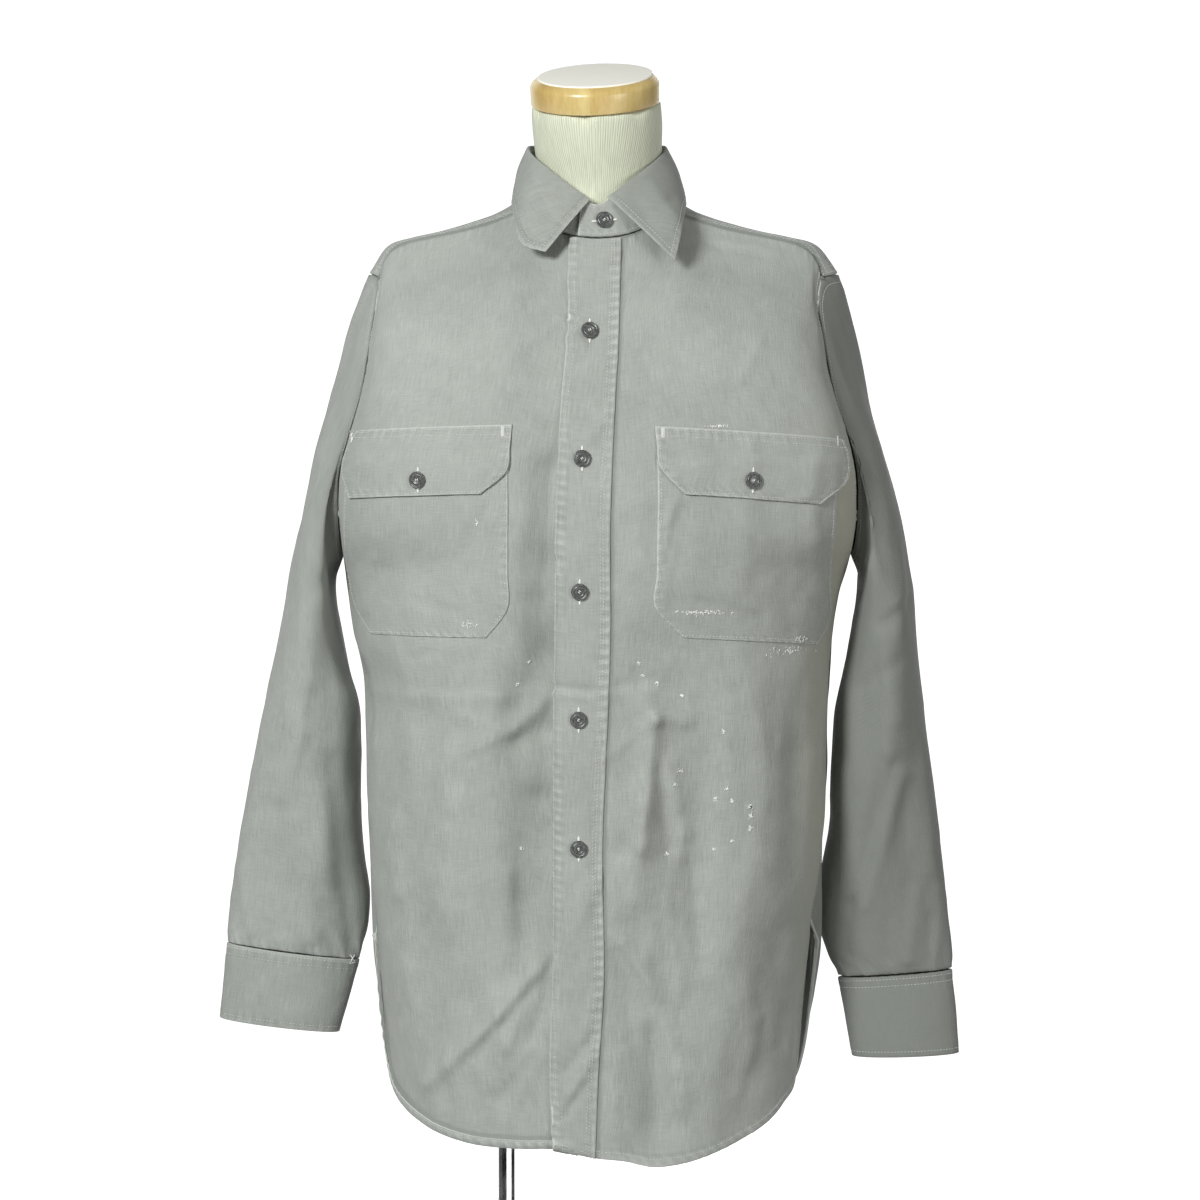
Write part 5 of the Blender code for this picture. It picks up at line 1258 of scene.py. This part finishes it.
# ---------- Pockets ----------
# A flat bag of twill with its lower corners cut off, its edges turned in and stitched on the front, and above
# it a double flap with its corners cut off too, buttoned in the middle. The wash has puckered every seam.
POCKET_CREASES = [
    (-0.1863, 1.1171, -0.1962, 1.0757, 0.0016, 0.006, 0.009),
    (-0.13, 1.1668, -0.1383, 1.084, -0.0012, 0.01, 0.012),
    (-0.1673, 1.1627, -0.1731, 1.1171, 0.0012, 0.008, 0.01),
    (-0.0886, 1.1627, -0.1052, 1.1295, -0.001, 0.007, 0.008),
    (-0.0969, 1.1171, -0.0803, 1.0674, 0.0012, 0.008, 0.009),
    (-0.1548, 1.084, -0.1134, 1.0741, -0.0009, 0.005, 0.006),
    (0.077, 1.1651, 0.0621, 1.1171, -0.0014, 0.008, 0.01),
    (0.1225, 1.1627, 0.1201, 1.0964, 0.0014, 0.009, 0.01),
    (0.178, 1.1585, 0.1863, 1.0923, 0.0018, 0.008, 0.01),
    (0.1432, 1.1627, 0.1598, 1.084, -0.0014, 0.01, 0.01),
    (0.0853, 1.084, 0.135, 1.0691, -0.0008, 0.005, 0.006),
    (0.0654, 1.1668, 0.0588, 1.1502, 0.0014, 0.005, 0.005),
    (0.058, 1.1668, 0.0538, 1.084, 0.001, 0.005, 0.006),
]
FLAP_CREASES = [
    (-0.1946, 1.2165, -0.2029, 1.1834, 0.001, 0.006, 0.008),
    (-0.13, 1.2165, -0.1432, 1.1916, -0.0009, 0.006, 0.006),
    (-0.149, 1.1751, -0.1515, 1.1668, -0.001, 0.004, 0.004),
    (-0.1052, 1.2165, -0.0803, 1.1834, 0.001, 0.008, 0.01),
    (0.0621, 1.2165, 0.077, 1.1751, -0.001, 0.006, 0.008),
    (0.1275, 1.2165, 0.1283, 1.1933, 0.001, 0.006, 0.006),
    (0.1283, 1.1734, 0.1267, 1.1635, -0.001, 0.004, 0.004),
    (0.1846, 1.2082, 0.1731, 1.1668, 0.0012, 0.007, 0.008),
    (0.0985, 1.2082, 0.1035, 1.1709, -0.0008, 0.008, 0.008),
]
pocket_grids = {}
for side, seed in (("left", 61), ("right", 71)):
    grid = fine_grid(cut_from("pocket_" + side, BODY_MIDDLE), FINE)
    across, to_right, down, to_foot = gaps(grid)
    to_side = np.minimum(across, to_right)
    to_edge = np.minimum(to_side, to_foot)
    way = np.where(to_side < to_foot, down, across)
    puff = 0.0014 * step_up(to_edge, 0.002, 0.030) + uneven(grid, seed, (0.0005, 0.030))
    creases = press(grid, POCKET_CREASES) + uneven(grid, seed + 1, (0.0003, 0.012))
    gathers = gather(0.00028, way, 0.0086, seed, to_edge - 0.0035, 0.0040)
    gathers -= 0.00025 * beside(to_edge - 0.0026, 0.0009)
    lift = 0.0014 + puff + creases * step_up(to_edge, 0.002, 0.010) + gathers
    grid = laid_on(grid, fronts_below, np.maximum(lift, 0.0012))
    # Worn pale along the edges; pucker crests painted lighter, troughs and the stitch groove darker.
    wear_and_painted_light = 0.62 * beside(to_edge, 0.0010) + 900 * gathers
    name = "pocket_" + side
    pocket = cut_sheet(name, name, grid, wear_and_painted_light=wear_and_painted_light, left=TURNED, right=TURNED, foot=TURNED)
    pocket_grids[name] = grid
    below = fronts_below + [tree_of(grid)]

    grid = fine_grid(cut_from("flap_" + side, BODY_MIDDLE, DOUBLE_WALL), FINE)
    across, to_right, down, to_foot = gaps(grid)
    to_side = np.minimum(across, to_right)
    to_edge = np.minimum(np.minimum(to_side, to_foot), down)
    way = np.where(to_side < np.minimum(to_foot, down), down, across)
    lift = 0.0018 + 0.0008 * step_up(down, 0.003, 0.015)
    creases = press(grid, FLAP_CREASES) + uneven(grid, seed + 3, (0.0004, 0.020))
    gathers = gather(0.00034, way, 0.0082, seed + 4, to_edge - 0.0045, 0.0042)
    gathers -= 0.00025 * beside(to_edge - 0.0030, 0.0009)
    grid = laid_on(grid, below, lift + creases * step_up(to_edge, 0, 0.006) + gathers, soften=6)
    # Worn pale along the edges; pucker crests painted lighter, troughs and the stitch groove darker.
    wear_and_painted_light = 0.62 * beside(to_edge, 0.0010) + 900 * gathers
    name = "flap_" + side
    folds = {edge: FOLDED for edge in ("left", "right", "foot", "top")}
    flap = cut_sheet(name, name, grid, wall=LAYERS, wear_and_painted_light=wear_and_painted_light, **folds)
    pocket_grids[name] = grid

# ---------- Buttons ----------
# Moulded buttons of dark grey resin with a raised rim, a ring and a dished middle with two pairs of holes,
# each painted as a dark disc of shade.
# White cotton thread holds each one through its buttonhole, whose worn ends show above and below it.
BUTTON_FOOT = 0.0052  # radius of its underside
BUTTON_RINGS = [
    (0.0004, 0.0064),
    (0.0006, 0.0070),
    (0.0007, 0.0070),
    (0.0004, 0.0066),
    (0.0001, 0.0061),
    (-0.0003, 0.0057),
    (-0.0001, 0.0053),
    (0.0003, 0.0049),
    (0.0001, 0.0044),
    (-0.0005, 0.0039),
    (-0.0003, 0.0033),
    (-0.0001, 0.0024),
    (-0.0001, 0.0012),
]
HOLE_AWAY = 0.0007  # of each hole from the button's middle lines
HOLE_RADIUS = 0.00048
THREAD_RADIUS = 0.00036
BUTTON_LIFT = 0.0006  # of its underside over the cloth
INSIDE = 0.03  # y of a place well inside the shirt

polish = {"Coat_Weight": 0.2, "Coat_Roughness": 0.3}
resin, tree, shader = new_material("grey_resin", (0.045, 0.048, 0.047), 0.34, **polish)
where = add_node(tree, "TexCoord").outputs["Object"]
worn = add_node(tree, "TexNoise", {"Vector": where, "Scale": 700.0, "Detail": 4.0}).outputs["Fac"]
two_tones(tree, shader, worn, (0.040, 0.043, 0.042), (0.125, 0.130, 0.125), 0.38, 0.72)
raise_grain(tree, shader, worn, 0.3, 0.0001)
white_thread, _, _ = new_material("white_thread", (0.86, 0.86, 0.82), 0.85)
# Painted shade: near-black discs stand in for the shade inside the holes.
painted_hole_shade, _, _ = new_material("button_hole_painted_shade", (0.006, 0.006, 0.006), 0.9)


def mould_button():
    """One button at the origin, facing up, with its holes painted as dark discs of shade, and its thread."""
    disc = turn_round("button", 40, BUTTON_FOOT, BUTTON_RINGS, (0, 0, 0))
    for material in (resin, painted_hole_shade, white_thread):
        disc.data.materials.append(material)
    top = sum(rise for rise, _ in BUTTON_RINGS)
    bpy.ops.object.shade_smooth_by_angle(angle=math.radians(50))
    parts = [disc]
    add_cylinder = bpy.ops.mesh.primitive_cylinder_add
    for x in (-HOLE_AWAY, HOLE_AWAY):
        for y in (-HOLE_AWAY, HOLE_AWAY):
            add_cylinder(vertices=12, radius=HOLE_RADIUS, depth=0.0002, location=(x, y, top + 0.00005))
            parts.append(bpy.context.object)
            parts[-1].data.materials.append(painted_hole_shade)
    lying = (math.pi / 2, 0, 0)
    for x in (-HOLE_AWAY, HOLE_AWAY):
        place = (x, 0, top + 0.0003)
        add_cylinder(vertices=8, radius=THREAD_RADIUS, depth=0.0019, location=place, rotation=lying)
        parts.append(bpy.context.object)
        parts[-1].data.materials.append(white_thread)
        bpy.ops.object.shade_smooth()
    deselect()
    for part in parts:
        part.select_set(True)
    bpy.context.view_layer.objects.active = disc
    bpy.ops.object.join()
    bpy.ops.object.transform_apply(location=True, rotation=True, scale=True)
    return disc


button = mould_button()


def sew_button(node, cloth_tree, roll, along):
    """Sews a button on the finished cloth where its CAD node is, and notes its buttonhole."""
    points = np.array([vertex.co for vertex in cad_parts[node].data.vertices])
    middle = points.mean(axis=0)
    normal = Vector(np.linalg.svd(points - middle)[2][2])
    if normal.dot(Vector(middle) - Vector((0, INSIDE, middle[2]))) < 0:
        normal = -normal
    place = cloth_tree.ray_cast(Vector(middle) + normal * 0.02, -normal)[0]
    turn = normal.to_track_quat("Z", "Y").to_matrix().to_4x4() @ Matrix.Rotation(roll, 4, "Z")
    made = bpy.data.objects.new(node + "_sewn", button.data.copy())
    bpy.context.scene.collection.objects.link(made)
    made.data.transform(Matrix.Translation(place + normal * BUTTON_LIFT) @ turn)
    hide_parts(node)
    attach(made, "root")
    buttonholes.append((place, normal, Vector(along), cloth_tree))


buttonholes = []
for number in range(1, 6):
    sew_button(f"button_front_{number}", placket_tree, 0.35 * number, (0, 0, 1))
for side in ("left", "right"):
    sew_button("button_flap_" + side, tree_of(pocket_grids["flap_" + side]), 0.2, (0, 0, 1))
    sew_button("button_cuff_" + side, tree_of(cuff_grids[side]), 0.6, (1, 0, 0))
sew_button("button_collar", tree_of(stand_grid), 0.9, (1, 0, 0.1))
bpy.data.objects.remove(button)

# ---------- Stitching ----------
# Rows of lockstitch in a pale cotton thread along every seam and edge, sunk in the cloth, and a thick
# overcast edge at both ends of every buttonhole.
STITCH_PITCH = 0.0029
STITCH_LONG = 0.0021
STITCH_THICK = 0.00028
HOLE_START = 0.0062  # from a button's middle to where its buttonhole shows
HOLE_STITCHES = 8
HOLE_STITCH_PITCH = 0.0006
HOLE_HALF_WIDE = 0.0012

seam_thread, tree, shader = new_material("seam_thread", (0.50, 0.52, 0.48), 0.85)
where = add_node(tree, "TexCoord").outputs["Object"]
aged = add_node(tree, "TexNoise", {"Vector": where, "Scale": 260.0, "Detail": 3.0}).outputs["Fac"]
two_tones(tree, shader, aged, (0.40, 0.42, 0.39), (0.80, 0.82, 0.77))


def inset_line(grid, edge, inset, start=0.0, end=1.0, closed=False):
    """A line on a sheet at a distance from one of its edges, and the sheet's normals along it."""
    turned = edge_first(grid, edge)
    facing = edge_first(outwards(grid, closed), edge)
    first = int(start * (turned.shape[1] - 1))
    last = int(end * (turned.shape[1] - 1)) + 1
    line = []
    for values in (turned, facing):
        picked = []
        for column in range(first, last):
            way = np.concatenate([[0], np.cumsum(np.linalg.norm(np.diff(turned[:, column], axis=0), axis=1))])
            picked.append([np.interp(inset, way, values[:, column, axis]) for axis in range(3)])
        line.append(np.array(picked))
    return line


def lay_fibres(name, ends_a, ends_b, normals, thick, material):
    """Short threads between pairs of ends, each a slim capsule of sixteen triangles, joined in one object."""
    ends_a, ends_b, normals = (np.asarray(values, dtype=float) for values in (ends_a, ends_b, normals))
    run = ends_b - ends_a
    side = np.cross(normals, run)
    side /= np.maximum(np.linalg.norm(side, axis=1, keepdims=True), 1e-9)
    ring = [side, normals, -side, -normals]
    corners = [ends_a - normals * thick * 0.4]
    corners += [ends_a + run * 0.2 + out * thick for out in ring]
    corners += [ends_a + run * 0.8 + out * thick for out in ring]
    corners += [ends_b - normals * thick * 0.4]
    points = np.stack(corners, axis=1).reshape(-1, 3)
    shape = []
    for k in range(4):
        n = (k + 1) % 4
        shape += [(0, 1 + n, 1 + k), (1 + k, 1 + n, 5 + n, 5 + k), (5 + k, 5 + n, 9)]
    faces = [tuple(10 * i + corner for corner in face) for i in range(len(ends_a)) for face in shape]
    mesh = bpy.data.meshes.new(name)
    mesh.from_pydata(points.tolist(), [], faces)
    mesh.materials.append(material)
    piece = bpy.data.objects.new(name, mesh)
    bpy.context.scene.collection.objects.link(piece)
    deselect()
    piece.select_set(True)
    bpy.context.view_layer.objects.active = piece
    bpy.ops.object.mode_set(mode="EDIT")
    bpy.ops.mesh.select_all(action="SELECT")
    bpy.ops.mesh.normals_make_consistent(inside=False)
    bpy.ops.object.mode_set(mode="OBJECT")
    bpy.ops.object.shade_smooth()
    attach(piece, "root")
    return piece


def stitch(name, lines):
    """Even stitches along lines that lie on the cloth."""
    ends_a, ends_b, normals = [], [], []
    for points, facing in lines:
        way = np.concatenate([[0], np.cumsum(np.linalg.norm(np.diff(points, axis=0), axis=1))])
        middles = np.arange(STITCH_PITCH / 2, way[-1], STITCH_PITCH)
        at = [np.interp(middles, way, facing[:, axis]) for axis in range(3)]
        normal = np.stack(at, axis=1)
        for ends, shift in ((ends_a, -STITCH_LONG / 2), (ends_b, STITCH_LONG / 2)):
            at = [np.interp(middles + shift, way, points[:, axis]) for axis in range(3)]
            ends.append(np.stack(at, axis=1) + normal * 0.00008)
        normals.append(normal)
    joined = [np.concatenate(values) for values in (ends_a, ends_b, normals)]
    return lay_fibres(name, *joined, STITCH_THICK, seam_thread)


placket_lines = [
    inset_line(placket_grid, "left", 0.0080),
    inset_line(placket_grid, "right", 0.0053),
    inset_line(placket_grid, "right", 0.0078),
]
stitch("placket_stitching", placket_lines)
seam_lines = []
for edge in ("foot", "left", "right"):
    seam_lines += [inset_line(yoke_grid, edge, inset) for inset in (0.0016, 0.0070)]
for grid, edge in ((under_grid, "left"), (over_grid, "right"), (back_grid, "left"), (back_grid, "right")):
    seam_lines += [inset_line(grid, edge, inset) for inset in (0.0018, 0.0075)]
stitch("seam_stitching", seam_lines)
stitch("hem_stitching", [inset_line(grid, "foot", 0.0056) for grid in (under_grid, over_grid, back_grid)])
pocket_lines = []
for side in ("left", "right"):
    bag = pocket_grids["pocket_" + side]
    flap = pocket_grids["flap_" + side]
    pocket_lines += [inset_line(bag, edge, 0.0024) for edge in ("left", "foot", "right")]
    pocket_lines += [inset_line(flap, edge, 0.0024) for edge in ("left", "foot", "right", "top")]
    pocket_lines.append(inset_line(flap, "top", 0.0075))
stitch("pocket_stitching", pocket_lines)
collar_lines = [inset_line(leaf_grid, "foot", 0.0052)]
collar_lines += [inset_line(leaf_grid, edge, 0.0052, 0.12) for edge in ("left", "right")]
for edge, inset in (("top", 0.0028), ("left", 0.0030), ("foot", 0.0022)):
    collar_lines.append(inset_line(stand_grid, edge, inset))
stitch("collar_stitching", collar_lines)
cuff_rows = (("top", 0.0022), ("top", 0.0080), ("foot", 0.0044), ("right", 0.0044), ("left", 0.0044))
cuff_lines = []
for side in ("left", "right"):
    cuff_lines += [inset_line(cuff_grids[side], edge, inset) for edge, inset in cuff_rows]
    cuff_lines.append(inset_line(sleeve_grids[side], "top", 0.0065, closed=True))
stitch("cuff_and_sleeve_stitching", cuff_lines)

overcast = []
for place, normal, along, tree in buttonholes:
    along = (along - normal * along.dot(normal)).normalized()
    side = normal.cross(along)
    for end in (-1, 1):
        for k in range(HOLE_STITCHES):
            over = place + along * end * (HOLE_START + HOLE_STITCH_PITCH * k)
            at = (tree.ray_cast(over + normal * 0.01, -normal)[0] or over) + normal * 0.00035
            wide = HOLE_HALF_WIDE * math.sqrt(max(0.05, 1 - (k / 7.5) ** 3))
            overcast.append((at - side * wide, at + side * wide, normal))
lay_fibres("buttonhole_thread", *zip(*overcast), THREAD_RADIUS, white_thread)

# ---------- Frays ----------
# Years of work have broken the cotton in small places: pale loose yarn ends stand round darker gaps, most on
# the viewer's right front below the pocket. Bar tacks hold the flaps' corners, and a few stitches are mends.
FRAYED = [  # x and z, how wide and how tall the place is, its pale yarns, and the dark ones of its gap
    (0.0347, 1.0326, 0.003, 0.003, 5, 0),
    (0.038, 1.0218, 0.0035, 0.003, 6, 2),
    (0.0496, 1.0152, 0.0035, 0.004, 7, 2),
    (0.0702, 1.0045, 0.003, 0.003, 6, 0),
    (0.1049, 0.9747, 0.003, 0.0035, 6, 1),
    (0.0644, 0.931, 0.004, 0.003, 6, 6),
    (0.0694, 0.9425, 0.0035, 0.0035, 7, 0),
    (0.0983, 0.9186, 0.004, 0.0035, 8, 2),
    (0.1082, 0.9268, 0.003, 0.0035, 6, 0),
    (0.1123, 0.9161, 0.0035, 0.0035, 7, 2),
    (0.128, 0.9111, 0.0045, 0.004, 7, 12),
    (0.128, 0.903, 0.003, 0.006, 9, 2),
    (0.128, 0.8938, 0.0035, 0.005, 8, 1),
    (0.1123, 0.8831, 0.003, 0.003, 6, 1),
    (0.0975, 0.8765, 0.0035, 0.003, 6, 2),
    (0.0586, 0.8732, 0.003, 0.0035, 6, 1),
    (-0.0562, 1.0326, 0.003, 0.0025, 5, 1),
    (-0.0661, 1.0144, 0.0025, 0.0025, 4, 1),
    (-0.0628, 0.8765, 0.0025, 0.003, 5, 1),
    (-0.0994, 1.1478, 0.0035, 0.009, 6, 0),
    (-0.106, 1.064, 0.018, 0.005, 12, 0),
    (0.085, 1.074, 0.039, 0.004, 34, 0),
    (0.16, 1.04, 0.04, 0.008, 22, 2),
    (0.0998, 1.228, 0.019, 0.002, 16, 0),
    (-0.206, 1.22, 0.005, 0.012, 12, 0),
    (0.172, 1.05, 0.012, 0.006, 8, 0),
]
YARN_LONG = 0.0021
YARN_THICK = 0.00026
BAR_TACKS = [(-0.0775, 1.2235), (-0.2055, 1.2190), (0.0545, 1.2225), (0.2015, 1.2160)]  # x and z
TACK_STITCHES = 14
TACK_PITCH = 0.0006
TACK_HALF_WIDE = 0.0020
MENDED = [  # thick white hand stitches: x and z of both ends
    (-0.2145, 0.7722, -0.2100, 0.7640),
    (-0.2100, 0.7722, -0.2145, 0.7640),
    (-0.2150, 0.7640, -0.2092, 0.7645),
    (-0.0226, 1.3850, -0.0214, 1.3844),
    (-0.0222, 1.3840, -0.0216, 1.3854),
]
loose_cotton, _, _ = new_material("loose_cotton", (0.86, 0.87, 0.83), 0.9)
shadowed_cotton, _, _ = new_material("shadowed_cotton", (0.030, 0.032, 0.030), 0.95)
chance = np.random.default_rng(14)
outer_trees = fronts_below + [tree_of(grid) for grid in pocket_grids.values()]
outer_trees += [tree_of(grid) for grid in (sleeve_grids["left"], cuff_grids["left"], stand_grid, leaf_grid)]


def front_place(x, z):
    """The foremost place on the cloth at x and z, and its normal."""
    hits = [tree.ray_cast(Vector((x, -0.5, z)), Vector((0, 1, 0)))[:2] for tree in outer_trees]
    hits = [hit for hit in hits if hit[0]]
    if not hits:
        return None
    place, normal = min(hits, key=lambda hit: hit[0].y)
    return np.array(place), np.array(normal if normal.y < 0 else -normal)


def scatter(count, x, z, wide, tall, lift):
    """Yarn ends scattered over a place along the weave's two directions: both ends and the cloth's normal."""
    found = []
    for _ in range(count):
        at = front_place(x + chance.normal() * wide / 4, z + chance.normal() * tall / 4)
        if at:
            place, normal = at
            turn = chance.choice([0.0, math.pi / 2]) + chance.normal() * 0.35
            run = np.array([math.cos(turn), 0.0, math.sin(turn)])
            run -= normal * run.dot(normal)
            half = run / np.linalg.norm(run) * YARN_LONG * chance.uniform(0.25, 0.75)
            middle = place + normal * (lift + chance.uniform(0, 0.00015))
            found.append((middle - half, middle + half, normal))
    return found


yarns = []
gaps = []
for x, z, wide, tall, pale, dark in FRAYED:
    yarns += scatter(2 * pale, x, z, wide, tall, 0.00024)
    gaps += scatter(dark // 2, x, z, wide * 0.4, tall * 0.4, 0.00010)
for x, z in BAR_TACKS:
    for k in range(TACK_STITCHES):
        at = front_place(x, z + (k - (TACK_STITCHES - 1) / 2) * TACK_PITCH)
        if at:
            place, normal = at
            half = np.array([TACK_HALF_WIDE, 0.0, 0.0])
            half -= normal * half.dot(normal)
            yarns.append((place + normal * 0.0002 - half, place + normal * 0.0002 + half, normal))
lay_fibres("loose_yarns", *zip(*yarns), YARN_THICK, loose_cotton)
lay_fibres("broken_gaps", *zip(*gaps), 0.00030, shadowed_cotton)

mends = []
for x0, z0, x1, z1 in MENDED:
    ends = [front_place(x0, z0), front_place(x1, z1)]
    if all(ends):
        (start, normal), (end, _) = ends
        mends.append((start + normal * 0.0003, end + normal * 0.0003, normal))
lay_fibres("hand_stitches", *zip(*mends), 0.00048, white_thread)
